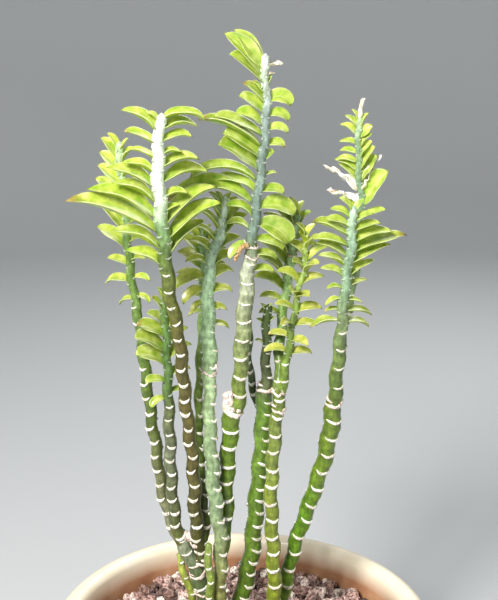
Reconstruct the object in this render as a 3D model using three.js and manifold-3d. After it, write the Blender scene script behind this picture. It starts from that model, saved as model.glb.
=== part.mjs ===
// A dwarf devil's backbone euphorbia in a cream bowl pot.
// Upright succulent canes zigzag from leaf scar to leaf scar and end in heads of two ranks of
// keeled leaves.  Canes that grew together are one solid, and every clump stands in a plain
// hole in the lava grit and the potting mix below it.
// Millimetres, +Z up, origin at the centre of the pot's flat base, -Y towards the viewer.
import * as THREE from 'three';
import { mergeVertices } from 'three/addons/utils/BufferGeometryUtils.js';
import Module from 'manifold-3d';

const wasm = await Module();
wasm.setup();

// ---- driving dimensions ----
const POT_HEIGHT = 134;
const POT_RIM_RADIUS = 127;
const POT_BASE_RADIUS = 84;
const POT_SIDES = 40;
const RIM_WIDTH = 14;
const RIM_DEPTH = 16;
const RIM_CROWN = 5;
const RIM_UNDERCUT = 2;
// The rim's roll in degrees from its outer side, and how much lower it falls inside
const RIM_ARC = [0, 40, 80, 120, 155];
const RIM_INNER_FALL = 1.4;
const FOOT_CHAMFER = 2.5;
const CORNER_FILLET = 4;
const WALL_HEIGHTS = [35, 75];
const WALL = 6;
const WALL_BULGE = 0.8;
const FLOOR = 7;
const DRAIN_HOLES = 4;
const DRAIN_RADIUS = 7;
const DRAIN_CIRCLE = 46;
const GAP = 0.4;

const GRIT_LEVEL = 112;
const GRIT_BED = 14;
const GRIT_SPACING = 7.4;
const GRIT_RELIEF = 4.5;
const GRIT_SCATTER = 1.2;
const HOLE_CLEARANCE = 0.7;
const SLIVER = 0.15;

const CANE_SIDES = 6;
const SCAR_SPACING = 12;
const ZIGZAG = 0.6;

// Stations along a blade, each with its share of the full width
const LONG_BLADE = [[0, 0.25], [0.24, 0.84], [0.56, 1], [0.83, 0.66]];
const BLUNT_BLADE = [[0, 0.25], [0.26, 0.74], [0.6, 1], [0.87, 0.84]];
const SHORT_BLADE = [[0, 0.3], [0.4, 1], [0.76, 0.8]];
const SHORT_LENGTH = 22;
const LEAF_FOLD = THREE.MathUtils.degToRad(33);
const LEAF_BEND = 48;
const LEAF_ROLL = 18;
const LEAF_CROWDING = 1.15;
// A leaf is this deep in its cane, in radii, and a long blade is slimmer than a short one
const LEAF_SEAT = 0.3;
const SHORT_WIDTH = 0.58;
const LONG_WIDTH = 8;
const LONG_WIDENING = 0.25;
const LEAF_THICKNESS = 1.1;
const LEAF_THICKENING = 0.02;
// No two leaves stand alike: azimuth in radians, the rest in degrees
const AZIMUTH_SCATTER = 0.12;
const RISE_SCATTER = 2.5;
const BEND_SCATTER = 6;
const ROLL_SCATTER = 5;

// ---- canes: rows of [x, y, z, radius] from the tip down to the foot ----
// Each rank of leaves gives the heights of its first and last leaf, the length of each leaf
// from the top down, and how steeply they rise, in degrees, spread over the rank.  It may also
// give how far the leaves roll their face, turn and bend, how broad they are, and a blunt tip.
// A cane's plane is how far its two ranks stand turned about it, in degrees.
const CLUMPS = {
  canes_left: [
    {
      rows: [[-47, -28, 468, 2.9], [-49, -28, 445, 3.8], [-48.5, -28, 422, 4.1], [-46.5, -27, 397, 4.4],
        [-44, -25, 364, 4.1], [-39, -22, 336, 3.8], [-35.5, -15, 288, 3.9], [-32, -8, 245, 4],
        [-31, -4, 208, 4.3], [-29, 0, 185, 4.6], [-28, 0, 170, 4.2]],
      plane: 12,
      left: {
        top: 466, bottom: 381, lengths: [10, 25, 21, 16, 21, 32, 30, 46, 60, 34, 25],
        rise: [40, 22, 22, 24, 20, 24], bend: [50, 46, 40, 38, 36],
      },
      right: {
        top: 467, bottom: 387, lengths: [25, 22, 19, 13, 24, 30, 16, 11, 40, 41, 32],
        rise: [0, 8, 12, 10, 32, 40], bend: [80, 60, 50, 40],
      },
    },
    {
      rows: [[-76.5, 12, 448, 2.5], [-73, 12, 401, 2.6], [-71.5, 10, 377, 2.8], [-69, 8, 357, 2.9],
        [-66, 6, 338, 3.2], [-62.5, 4, 306, 3.5], [-59, 2, 274, 3.6], [-56, 2, 251, 3.6],
        [-53.5, 2, 227, 3.6], [-48, 1, 203, 3.7], [-40, 0, 186, 4]],
      plane: -22,
      left: {
        top: 446, bottom: 352, lengths: [12, 18, 20, 22, 24, 22, 30, 25, 16, 19, 12],
        rise: [58, 44, 34, 36, 50, 30, 0, -25], roll: [30, 24], bend: [40, 30, 30, 40, 80],
      },
      right: {
        top: 444, bottom: 354, lengths: [11, 15, 18, 20, 21, 20, 17, 11, 12, 11],
        rise: [55, 40, 28, 20, 10, -20], roll: [30, 24], bend: [40, 40, 60, 90],
      },
    },
    {
      rows: [[-48.5, -10, 356, 2.4], [-47.5, -10, 327, 2.7], [-47, -9, 295, 3.2], [-46.5, -7, 255, 3.7],
        [-46, -5, 229, 3.7], [-44, -2, 201, 3.9], [-40, 0, 186, 4]],
      plane: 28,
      left: {
        top: 355, bottom: 292, lengths: [10, 13, 15, 21, 24, 23, 14, 12], blunt: [1, 1],
        rise: [66, 50, 30, 28, 34, 10, -25], roll: [34, 30], bend: [40, 40, 50, 90],
        broad: [1, 1, 1.1, 1.25, 1.25, 1.25, 1.1, 1],
      },
      right: {
        top: 354, bottom: 295, lengths: [9, 11, 14, 17, 18, 15, 11],
        rise: [62, 48, 34, 22, -5], roll: [30, 24], bend: [40, 60, 90],
      },
    },
    {
      rows: [[-26, 34, 390, 2.4], [-25.5, 32, 349, 2.9], [-28, 25, 306, 2.9], [-29, 16, 268, 2.9],
        [-26.5, 9, 223, 3], [-25.5, 4, 201, 3.4], [-27, 1, 184, 4], [-28, 0, 170, 4.2]],
      plane: -25,
      left: {
        top: 388, bottom: 338, lengths: [12, 17, 20, 22, 20, 15, 12],
        rise: [62, 40, 15, -25], roll: [30, 24],
      },
      right: {
        top: 386, bottom: 342, lengths: [12, 16, 19, 19, 15, 12],
        rise: [60, 36, 20, -5], roll: [30, 24],
      },
    },
    {
      rows: [[-42.5, 0, 194, 3.6], [-37, 0, 180, 4.6], [-30.5, 0, 165, 5], [-27, 0, 150, 5],
        [-25, 0, 128, 5.2], [-24, 0, 78, 3.4]],
    },
    {
      rows: [[-43, 4, 176, 2.3], [-38.5, 2, 160, 2.5], [-34, 0, 145, 2.6], [-31, -1, 126, 2.6],
        [-28, -1, 78, 2.2]],
    },
  ],
  canes_middle: [
    {
      rows: [[-11.5, 16, 413, 2.8], [-13.5, 16, 395, 3.5], [-19.5, 13, 377, 3.8], [-22, 9, 357, 4.1],
        [-21, 1, 307, 4.7], [-21.3, -1, 295, 4], [-21, -5, 266, 4.1], [-18, -9, 221, 4.5],
        [-15, -10, 199, 4.3], [-14.5, -10, 183, 4.3], [-16, -10, 150, 4.5], [-15, -10, 120, 4.6],
        [-15, -10, 78, 3.4]],
      plane: 20,
      left: {
        top: 411, bottom: 350, lengths: [10, 16, 20, 20, 18, 18, 16, 22, 17, 11],
        rise: [62, 50, 45, 30, -25, -35], roll: [20, 24, 30], bend: [50, 50, 80, 100],
      },
      right: {
        top: 410, bottom: 336, lengths: [10, 15, 20, 24, 20, 19, 17, 15, 12, 14],
        rise: [62, 48, 40, 22, 15, 0, -20], roll: [24, 30], bend: [50, 50, 60, 110, 60],
      },
    },
    {
      rows: [[13, -2, 501, 2.5], [14.5, -2, 470, 2.7], [12, -2, 440, 2.9], [7.5, -2, 404, 3.2],
        [3, -1, 365, 4.5], [0, 0, 330, 4.9], [-2, 0, 300, 4.4], [-2.8, 1, 286, 4.5], [-6.5, 1, 277, 5.7],
        [-8.8, 2, 258, 5.2], [-11, 2, 223, 4.7], [-11, 0, 206, 4.6], [-13, -6, 192, 4.5],
        [-14.5, -10, 180, 4]],
      plane: 12,
      left: {
        top: 495, bottom: 391, blunt: [0, 1, 1, 1, 0], turn: [0, 0, 0, -8, 0],
        lengths: [29, 35, 29, 12, 19, 20, 20, 33, 43, 29, 31, 42, 26, 54, 19, 17, 17],
        rise: [55, 45, 42, 44, 44, 34, 24, 22, 26, 34, 32, 6, 18, 3, 24, 14, -40],
        roll: [62, 60, 50, 30, 30, 40, 36, 22, 14, 44, 44, 20, 24, 30, 24, 16, 24],
        broad: [0.9, 1, 1.05, 0.9, 1.1, 1.15, 1.1, 0.9, 0.9, 1.35, 1.35, 0.8, 1, 0.8, 1, 1, 1.1],
        bend: [18, 26, 30, 30, 34, 34, 38, 40, 44, 44, 44, 84, 84, 92, 70, 60, 50],
      },
      right: {
        top: 497, bottom: 372, blunt: [0, 0.2, 1, 1, 1, 1, 1, 1],
        lengths: [11, 6, 10, 14, 13, 13, 12, 9, 10, 15, 24, 25, 20, 16, 15],
        rise: [6, 30, 72, -8, -14, -10, -10, 44, 8, -6, -14, -34, -24, -16, -8],
        roll: [10, 30, 20, 60, 50, 46, 44, 50, 16, 40, 40, 56, 36, 30, 24],
        broad: [1, 1, 0.8, 1.5, 1.25, 1.1, 1.2, 1.2, 0.8, 1.1, 1.2, 1.3, 1.1, 1, 1],
        bend: [30, 30, 16, 130, 110, 100, 96, 60, 40, 70, 74, 66, 60, 80, 80],
      },
    },
    {
      rows: [[-23, -16, 193, 2.2], [-21.5, -17, 173, 2.6], [-21, -17, 150, 2.6], [-20, -15, 120, 2.6],
        [-17, -12, 85, 2.2]],
    },
    {
      rows: [[-9.8, -1, 290, 2.8], [-9.4, -0.5, 285, 3.5], [-8, 1, 274, 3.8]],
    },
  ],
  canes_behind: [
    {
      rows: [[15.5, 9, 345, 2.8], [15, 10, 317, 3.1], [15, 12, 297, 3.5], [14.5, 12.5, 290, 5.1],
        [12, 13, 245, 5.1], [8.5, 11, 207, 5.3], [6, 9, 177, 5.4], [2, 8, 157, 5.4],
        [-2, 7, 138, 5.4], [-6, 6, 112, 5.4], [-8, 6, 78, 3.6]],
      left: { top: 343, bottom: 322, lengths: [7, 8, 7], rise: [60, 40, 20] },
      right: { top: 344, bottom: 325, lengths: [6, 7, 6], rise: [60, 44, 30] },
    },
    {
      rows: [[4, 20, 346, 1.9], [4, 19.5, 321, 2.1], [4.5, 19, 300, 2.3], [9, 16, 281, 2.6],
        [13, 13, 272, 2.6]],
    },
  ],
  canes_right_middle: [
    {
      rows: [[34.5, 26, 401, 2.5], [32, 26, 383, 2.9], [28.5, 24, 357, 3.2], [24, 15, 322, 3.3],
        [23.5, 4, 292, 3.9], [21.5, 2, 269, 4.1], [19, 0, 238, 4.2], [18.5, -1, 218, 4.3],
        [20, -3, 181, 4.4], [21, -4, 150, 4.7], [21.5, -4, 115, 4.8], [21.5, -4, 78, 3.4]],
      plane: 16,
      left: {
        top: 400, bottom: 338, lengths: [15, 22, 26, 29, 31, 31, 28, 23, 17, 16],
        rise: [75, 58, 50, 48, 40, 30, 20, 10], roll: [36, 30, 24], bend: [40, 50, 60],
      },
      right: {
        top: 399, bottom: 352, lengths: [14, 16, 16, 17, 15, 13, 11],
        rise: [70, 30, 10, -15], roll: [24, 24],
      },
    },
    {
      rows: [[39, 7, 393, 1.7], [39.5, 7, 374, 1.9], [35.5, 6, 359, 2.1], [31.5, 5, 334, 2.4],
        [26.5, 4, 303, 3.2], [23.5, 4, 288, 4]],
      left: {
        top: 391, bottom: 318, lengths: [12, 15, 17, 16, 17, 16, 14, 13, 14, 15],
        rise: [60, 40, 30, 24, 8, 0], roll: [34, 26],
        turn: [30, 60, 0, 60, 0, 65, 10, 60, 0, 0], bend: [50, 60, 70],
      },
      right: {
        top: 390, bottom: 316, lengths: [12, 15, 16, 17, 16, 17, 17, 15, 15, 15],
        rise: [60, 34, 26, 16, 0, 0], roll: [34, 26],
        turn: [0, 50, 0, 55, 0, 60, 10, 0, 40, 0], bend: [50, 60, 70],
      },
    },
  ],
  canes_right: [
    {
      rows: [[66, -18, 413, 2.4], [65.5, -18, 393, 3], [62.5, -16, 364, 3.2], [61, -11, 333, 3.7],
        [59.5, -7, 308, 4.2], [58.5, -3, 288, 4.6], [58, -1, 281, 5.4], [57, 0, 270, 5.6],
        [53.5, 4, 246, 5.2],
        [44, 9, 210, 5], [36, 12, 183, 4.7], [30, 12, 156, 4.4], [26, 12, 130, 4.5], [24, 12, 78, 3.4]],
      plane: 14,
      left: {
        top: 412, bottom: 344, lengths: [11, 15, 18, 26, 24, 22, 20, 17, 11, 12, 11, 20],
        rise: [50, 25, 18, 22, 16, 24, 22, 20, 0, -18, -5, -11],
        roll: [24, 12], broad: [1, 0.84], bend: [50, 30, 40, 60, 40],
      },
      right: {
        top: 411, bottom: 342, lengths: [11, 13, 18, 26, 38, 28, 20, 15, 11, 19, 18],
        rise: [50, 20, 15, 12, 14, 26, 28, 12, -12, -14, -12],
        roll: [24, 12], broad: [1, 1, 0.9, 0.85, 0.7, 0.8, 0.85, 1], bend: [50, 36, 24, 40, 60],
      },
    },
    {
      rows: [[71, 8, 464, 1.9], [71.5, 8, 436, 2.1], [73.5, 8, 414, 2.3], [73.5, 8, 392, 2.4],
        [69, 6, 358, 2.6], [62, 3, 319, 3], [58.5, -1, 284, 3.8]],
      plane: -18,
      left: {
        top: 463, bottom: 408, lengths: [9, 12, 14, 12, 12, 15, 17, 17, 28, 24, 16],
        rise: [60, 40, 26, 5, 5, 4, 26, 38, 34, 14, 30],
        roll: [20, 20, 24, 30], bend: [40, 40, 40, 40, 30, 20, 16],
      },
      right: {
        top: 464, bottom: 404, lengths: [14, 11, 11, 12, 14, 18, 20, 27, 28, 16],
        rise: [80, 60, 40, 50, 55, 60, 60, 66, 52, 20], roll: [10, 30, 60, 50, 50, 56, 60, 30, 66, 30],
        broad: [0.8, 1, 1.3, 1.1, 1.1, 1.2, 1.2, 0.8, 1.4, 1], bend: [20, 40, 60, 40, 30, 24],
      },
    },
  ],
};

// Callus knobs left by pruning: [clump, x, y, z, radius]
const KNOBS = [
  ['canes_middle', -9.5, -1, 287, 3.6],
  ['canes_left', -35, -1, 192, 3.2],
  ['canes_left', -31, -2, 187, 3],
];

// ---- small tools ----
const CLUMP_SEED = 17;
const GRIT_SEED = 7;
let seed = GRIT_SEED;
function draw(spread) {
  seed = (seed * 16807) % 2147483647;
  return (seed / 2147483647 - 0.5) * 2 * spread;
}

function toSolid(positions, indices) {
  return new wasm.Manifold(new wasm.Mesh({
    numProp: 3,
    vertProperties: Float32Array.from(positions),
    triVerts: Uint32Array.from(indices),
  }));
}

function solidOf(geometry) {
  const bare = geometry.clone();
  bare.deleteAttribute('normal');
  bare.deleteAttribute('uv');
  const merged = mergeVertices(bare, 1e-4);
  return toSolid(merged.attributes.position.array, merged.index.array);
}

function geometryOf(solid) {
  const mesh = solid.getMesh();
  const geometry = new THREE.BufferGeometry();
  geometry.setAttribute('position', new THREE.BufferAttribute(mesh.vertProperties, 3));
  geometry.setIndex(new THREE.BufferAttribute(mesh.triVerts, 1));
  geometry.computeVertexNormals();
  return geometry;
}

// Slivers along the joins go, and only the largest outward body stays, which fills sealed
// hollows and drops scrap.
function largestBody(solid) {
  return solid.asOriginal().simplify(SLIVER).decompose().sort((a, b) => b.volume() - a.volume())[0];
}

function spread(values, t) {
  const place = t * (values.length - 1);
  const low = Math.min(Math.floor(place), values.length - 2);
  return values[low] + (values[low + 1] - values[low]) * (place - low);
}

// ---- canes ----
function slope(rows, i, column) {
  const before = rows[Math.max(i - 1, 0)];
  const after = rows[Math.min(i + 1, rows.length - 1)];
  return (after[column] - before[column]) / (after[2] - before[2]);
}

// Centre and radius of a cane at height z, smooth through its rows
function caneAt(rows, z) {
  let i = 0;
  while (i < rows.length - 2 && z < rows[i + 1][2]) i += 1;
  const step = rows[i + 1][2] - rows[i][2];
  const t = THREE.MathUtils.clamp((z - rows[i][2]) / step, 0, 1);
  const value = (column) => {
    const start = rows[i][column];
    const end = rows[i + 1][column];
    const startSlope = slope(rows, i, column) * step;
    const endSlope = slope(rows, i + 1, column) * step;
    const t2 = t * t;
    const t3 = t2 * t;
    return (2 * t3 - 3 * t2 + 1) * start + (t3 - 2 * t2 + t) * startSlope
      + (3 * t2 - 2 * t3) * end + (t3 - t2) * endSlope;
  };
  return { x: value(0), y: value(1), r: value(3) };
}

function caneSolid(rows, extra) {
  const top = rows[0][2];
  const foot = rows[rows.length - 1][2];
  const count = Math.max(2, Math.round((top - foot) / SCAR_SPACING));
  const positions = [];
  const indices = [];
  for (let i = 0; i <= count; i += 1) {
    const z = top + (foot - top) * (i / count);
    const here = caneAt(rows, z);
    const above = caneAt(rows, z + 1);
    const below = caneAt(rows, z - 1);
    const tangent = new THREE.Vector3(above.x - below.x, above.y - below.y, 2).normalize();
    const across = new THREE.Vector3(1, 0, 0).addScaledVector(tangent, -tangent.x).normalize();
    const inward = new THREE.Vector3().crossVectors(tangent, across);
    const shift = (i % 2 ? 1 : -1) * ZIGZAG * (i > 0 && i < count ? 1 : 0);
    for (let k = 0; k < CANE_SIDES; k += 1) {
      const angle = (2 * Math.PI * k) / CANE_SIDES;
      const point = new THREE.Vector3(here.x + shift, here.y, z);
      point.addScaledVector(across, Math.cos(angle) * (here.r + extra));
      point.addScaledVector(inward, Math.sin(angle) * (here.r + extra));
      positions.push(point.x, point.y, point.z);
    }
  }
  const tip = rows[0];
  positions.push(tip[0], tip[1], top + tip[3] + extra);
  const footPoint = caneAt(rows, foot);
  positions.push(footPoint.x, footPoint.y, foot - footPoint.r / 2 - extra);
  const tipIndex = (count + 1) * CANE_SIDES;
  for (let k = 0; k < CANE_SIDES; k += 1) {
    const next = (k + 1) % CANE_SIDES;
    indices.push(tipIndex, k, next);
    for (let i = 0; i < count; i += 1) {
      const a = i * CANE_SIDES;
      const b = a + CANE_SIDES;
      indices.push(a + k, b + k, b + next, a + k, b + next, a + next);
    }
    const last = count * CANE_SIDES;
    indices.push(tipIndex + 1, last + next, last + k);
  }
  return toSolid(positions, indices);
}

// ---- leaves ----
// One keeled blade.  Its rib is an arc that starts steep and levels out, and both halves of the
// blade are folded up from it, with like triangles above and below.
function leafSolid(leaf) {
  const bend = THREE.MathUtils.degToRad(leaf.bend);
  const start = THREE.MathUtils.degToRad(leaf.rise) + bend / 2;
  const arc = leaf.length * (bend / 2) / Math.sin(bend / 2);
  const out = new THREE.Vector3(Math.cos(leaf.azimuth), Math.sin(leaf.azimuth), 0);
  const flat = new THREE.Vector3(-out.y, out.x, 0);
  const ribPoint = (s) => new THREE.Vector3(leaf.x, leaf.y, leaf.z)
    .addScaledVector(out, arc * (Math.sin(start) - Math.sin(start - bend * s)) / bend)
    .addScaledVector(new THREE.Vector3(0, 0, 1), arc * (Math.cos(start - bend * s) - Math.cos(start)) / bend);
  const positions = [];
  const indices = [];
  const longBlade = leaf.blunt > 0.5 ? BLUNT_BLADE : LONG_BLADE;
  const stations = leaf.length > SHORT_LENGTH ? longBlade : SHORT_BLADE;
  for (const [s, share] of stations) {
    const angle = start - bend * s;
    const up = out.clone().multiplyScalar(-Math.sin(angle)).add(new THREE.Vector3(0, 0, Math.cos(angle)));
    const across = flat.clone().multiplyScalar(Math.cos(leaf.roll)).addScaledVector(up, Math.sin(leaf.roll));
    const normal = up.clone().multiplyScalar(Math.cos(leaf.roll)).addScaledVector(flat, -Math.sin(leaf.roll));
    const half = (leaf.width / 2) * share;
    const rib = ribPoint(s);
    const keel = rib.clone().addScaledVector(normal, -leaf.thick);
    for (const side of [-1, 1]) {
      const edge = rib.clone().addScaledVector(across, side * half * Math.cos(LEAF_FOLD));
      edge.addScaledVector(normal, half * Math.sin(LEAF_FOLD));
      positions.push(...edge.toArray());
    }
    positions.push(...rib.toArray(), ...keel.toArray());
  }
  positions.push(...ribPoint(1).toArray());
  const rings = stations.length;
  const tip = rings * 4;
  const RIGHT = 0;
  const LEFT = 1;
  const RIB = 2;
  const KEEL = 3;
  for (let i = 0; i < rings; i += 1) {
    const a = i * 4;
    const b = a + 4;
    const last = i === rings - 1;
    for (const [edge, middle] of [[LEFT, RIB], [KEEL, LEFT], [RIB, RIGHT], [RIGHT, KEEL]]) {
      if (last) {
        indices.push(a + edge, a + middle, tip);
      } else if (edge === LEFT || edge === RIGHT) {
        indices.push(a + edge, a + middle, b + middle, a + edge, b + middle, b + edge);
      } else {
        indices.push(a + edge, a + middle, b + edge, a + middle, b + middle, b + edge);
      }
    }
  }
  indices.push(LEFT, KEEL, RIB, RIB, KEEL, RIGHT);
  return toSolid(positions, indices);
}

function rankSolids(rows, rank, side, plane) {
  const given = (name, t, usual) => (rank[name] ? spread(rank[name], t) : usual);
  return rank.lengths.map((length, i) => {
    const t = i / (rank.lengths.length - 1);
    const z = rank.top + (rank.bottom - rank.top) * t ** LEAF_CROWDING;
    const cane = caneAt(rows, z);
    const turned = THREE.MathUtils.degToRad(given('turn', t, 0));
    const towards = plane + (side > 0 ? -turned : Math.PI + turned);
    return leafSolid({
      x: cane.x + Math.cos(towards) * cane.r * LEAF_SEAT,
      y: cane.y + Math.sin(towards) * cane.r * LEAF_SEAT,
      z: z - cane.r * LEAF_SEAT,
      length,
      width: Math.min(SHORT_WIDTH * length, LONG_WIDTH + LONG_WIDENING * length) * given('broad', t, 1),
      blunt: given('blunt', t, 0),
      thick: LEAF_THICKNESS + LEAF_THICKENING * length,
      azimuth: towards + draw(AZIMUTH_SCATTER),
      rise: spread(rank.rise, t) + draw(RISE_SCATTER),
      bend: given('bend', t, LEAF_BEND) + draw(BEND_SCATTER),
      roll: side * THREE.MathUtils.degToRad(given('roll', t, LEAF_ROLL) + draw(ROLL_SCATTER)),
    });
  });
}

function clumpSolid(name) {
  seed = CLUMP_SEED;
  const pieces = [];
  for (const cane of CLUMPS[name]) {
    const plane = THREE.MathUtils.degToRad(cane.plane ?? 0);
    pieces.push(caneSolid(cane.rows, 0));
    if (cane.left) pieces.push(...rankSolids(cane.rows, cane.left, -1, plane));
    if (cane.right) pieces.push(...rankSolids(cane.rows, cane.right, 1, plane));
  }
  for (const [clump, x, y, z, r] of KNOBS) {
    if (clump === name) pieces.push(solidOf(new THREE.IcosahedronGeometry(r, 0).translate(x, y, z)));
  }
  return largestBody(wasm.Manifold.union(pieces));
}

// Plain holes that the canes stand in: the buried stretches, a little wider
function holes() {
  const pieces = [];
  for (const canes of Object.values(CLUMPS)) {
    for (const cane of canes) {
      if (cane.rows[cane.rows.length - 1][2] < GRIT_LEVEL) pieces.push(caneSolid(cane.rows, HOLE_CLEARANCE));
    }
  }
  return wasm.Manifold.union(pieces);
}

// ---- pot ----
function latheOf(profile) {
  const geometry = new THREE.LatheGeometry(profile.map(([r, z]) => new THREE.Vector2(r, z)), POT_SIDES);
  return solidOf(geometry.rotateX(Math.PI / 2));
}

// Inner radius of the pot wall at height z
function innerRadius(z) {
  const bottom = POT_BASE_RADIUS - WALL;
  const top = POT_RIM_RADIUS - RIM_WIDTH;
  const t = THREE.MathUtils.clamp((z - FLOOR) / (POT_HEIGHT - FLOOR), 0, 1);
  return bottom + (top - bottom) * Math.sin((t * Math.PI) / 2) ** WALL_BULGE;
}

// Inner radius of the modelled wall, which is straight between the heights of its profile
function wallRadius(z) {
  const heights = [FLOOR, ...WALL_HEIGHTS, POT_HEIGHT - RIM_DEPTH, POT_HEIGHT];
  const radii = heights.map((height, i) => innerRadius(height) - (i === 0 ? CORNER_FILLET : 0));
  let i = 0;
  while (i < heights.length - 2 && z > heights[i + 1]) i += 1;
  return THREE.MathUtils.mapLinear(z, heights[i], heights[i + 1], radii[i], radii[i + 1]);
}

function potSolid() {
  const profile = [[0, 0], [POT_BASE_RADIUS - FOOT_CHAMFER, 0], [POT_BASE_RADIUS, FOOT_CHAMFER]];
  for (const z of [...WALL_HEIGHTS, POT_HEIGHT - RIM_DEPTH]) profile.push([innerRadius(z) + WALL, z]);
  const middle = POT_RIM_RADIUS - RIM_WIDTH / 2;
  profile.push([POT_RIM_RADIUS - RIM_UNDERCUT, POT_HEIGHT - RIM_DEPTH + RIM_UNDERCUT]);
  for (const degrees of RIM_ARC) {
    const angle = THREE.MathUtils.degToRad(degrees);
    const crown = degrees > 90 ? RIM_CROWN * RIM_INNER_FALL : RIM_CROWN;
    profile.push([middle + Math.cos(angle) * (RIM_WIDTH / 2), POT_HEIGHT + (Math.sin(angle) - 1) * crown]);
  }
  for (const z of [POT_HEIGHT - RIM_DEPTH, ...WALL_HEIGHTS.toReversed()]) profile.push([innerRadius(z), z]);
  profile.push([innerRadius(FLOOR) - CORNER_FILLET, FLOOR], [0, FLOOR]);
  let pot = latheOf(profile);
  for (let i = 0; i < DRAIN_HOLES; i += 1) {
    const angle = (2 * Math.PI * (i + 0.5)) / DRAIN_HOLES;
    const hole = new THREE.CylinderGeometry(DRAIN_RADIUS, DRAIN_RADIUS, 4 * FLOOR, 16).rotateX(Math.PI / 2);
    hole.translate(Math.cos(angle) * DRAIN_CIRCLE, Math.sin(angle) * DRAIN_CIRCLE, FLOOR / 2);
    pot = pot.subtract(solidOf(hole));
  }
  return largestBody(pot);
}

// ---- what fills the pot ----
function fillProfile(bottom, top) {
  const profile = [[0, bottom]];
  const breaks = [...WALL_HEIGHTS, POT_HEIGHT - RIM_DEPTH].filter((z) => z > bottom && z < top);
  const heights = [bottom, ...breaks, top];
  for (const z of heights) profile.push([wallRadius(z) - 2 * GAP, z]);
  profile.push([0, top]);
  return profile;
}

function mixSolid(holeSolid) {
  return largestBody(latheOf(fillProfile(FLOOR + GAP, GRIT_LEVEL - GRIT_BED - GAP)).subtract(holeSolid));
}

// Lava grit: a triangular lattice whose every third point is the peak of a pebble
function gritSheet() {
  const reach = Math.ceil(POT_RIM_RADIUS / GRIT_SPACING) + 1;
  const rowsUp = Math.ceil(POT_RIM_RADIUS / (GRIT_SPACING * 0.866)) + 1;
  const width = 2 * reach + 1;
  const positions = [];
  const indices = [];
  for (let j = -rowsUp; j <= rowsUp; j += 1) {
    for (let i = -reach; i <= reach; i += 1) {
      const column = i - Math.floor(j / 2);
      const peak = (((column - j) % 3) + 3) % 3 === 0;
      const x = (i + (j % 2 ? 0.5 : 0)) * GRIT_SPACING;
      const y = j * GRIT_SPACING * 0.866;
      const height = (peak ? GRIT_RELIEF : 0) + draw(GRIT_SCATTER);
      positions.push(x + draw(GRIT_SCATTER), y + draw(GRIT_SCATTER), GRIT_LEVEL - GRIT_RELIEF / 2 + height);
    }
  }
  const layer = positions.length / 3;
  for (let k = 0; k < layer; k += 1) {
    positions.push(positions[3 * k], positions[3 * k + 1], GRIT_LEVEL - 3 * GRIT_BED);
  }
  const rows = 2 * rowsUp + 1;
  const cell = (a, b, c) => indices.push(a, b, c, layer + a, layer + c, layer + b);
  for (let j = 0; j < rows - 1; j += 1) {
    for (let i = 0; i < width - 1; i += 1) {
      const a = j * width + i;
      const odd = (j - rowsUp) % 2 !== 0;
      if (odd) {
        cell(a, a + 1, a + width + 1);
        cell(a, a + width + 1, a + width);
      } else {
        cell(a, a + 1, a + width);
        cell(a + 1, a + width + 1, a + width);
      }
    }
  }
  const wall = (a, b) => indices.push(a, layer + b, b, a, layer + a, layer + b);
  for (let i = 0; i < width - 1; i += 1) {
    wall(i, i + 1);
    wall((rows - 1) * width + i + 1, (rows - 1) * width + i);
  }
  for (let j = 0; j < rows - 1; j += 1) {
    wall((j + 1) * width, j * width);
    wall(j * width + width - 1, (j + 1) * width + width - 1);
  }
  return toSolid(positions, indices);
}

function gritSolid(holeSolid) {
  const bed = latheOf(fillProfile(GRIT_LEVEL - GRIT_BED, GRIT_LEVEL + 2 * GRIT_RELIEF));
  return largestBody(bed.intersect(gritSheet()).subtract(holeSolid));
}

// ---- the object ----
const plant = new THREE.Group();
function add(name, solid, color, roughness) {
  const material = new THREE.MeshStandardMaterial({ color, roughness, metalness: 0 });
  const mesh = new THREE.Mesh(geometryOf(solid), material);
  mesh.name = name;
  plant.add(mesh);
}

const holeSolid = holes();
add('pot', potSolid(), '#f1e3c4', 0.35);
add('potting_mix', mixSolid(holeSolid), '#4a3a2e', 0.95);
add('lava_grit', gritSolid(holeSolid), '#b58f86', 0.95);
const LEAF_COLOURS = {
  canes_left: '#b5d833',
  canes_middle: '#aed036',
  canes_behind: '#6f9a3a',
  canes_right_middle: '#bcd83a',
  canes_right: '#a9cf3c',
};
for (const name of Object.keys(CLUMPS)) add(name, clumpSolid(name), LEAF_COLOURS[name], 0.5);

export default plant;
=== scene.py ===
"""A dwarf devil's backbone euphorbia in a cream glazed bowl pot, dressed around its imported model."""
import math
import random

import bmesh
import bpy
from mathutils import Matrix, Vector, noise


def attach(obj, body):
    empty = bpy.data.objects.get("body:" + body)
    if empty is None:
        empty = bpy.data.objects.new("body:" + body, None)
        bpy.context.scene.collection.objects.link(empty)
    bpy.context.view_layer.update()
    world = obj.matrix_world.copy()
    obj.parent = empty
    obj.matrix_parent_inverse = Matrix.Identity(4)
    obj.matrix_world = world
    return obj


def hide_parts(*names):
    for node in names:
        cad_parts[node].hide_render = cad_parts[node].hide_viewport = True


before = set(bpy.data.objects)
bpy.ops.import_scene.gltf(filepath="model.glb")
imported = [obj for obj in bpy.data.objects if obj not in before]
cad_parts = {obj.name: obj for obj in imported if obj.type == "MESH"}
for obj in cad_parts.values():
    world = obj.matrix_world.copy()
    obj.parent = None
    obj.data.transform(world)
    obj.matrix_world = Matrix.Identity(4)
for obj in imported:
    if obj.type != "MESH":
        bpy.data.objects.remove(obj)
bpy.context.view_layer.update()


# ---- Pot ----
# A wheel-turned stoneware bowl with a thick rolled rim and four drain holes in its flat floor.
# Cream glaze was poured over the outside and the rim and runs out just inside the mouth, where
# the tan body shows.  The tan inside is also darkened as painted shade inside the pot.
MM = 0.001
POT_HEIGHT = 134 * MM
POT_RIM_RADIUS = 127 * MM
POT_BASE_RADIUS = 84 * MM
RIM_WIDTH = 14 * MM
RIM_CROWN = 6 * MM
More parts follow.
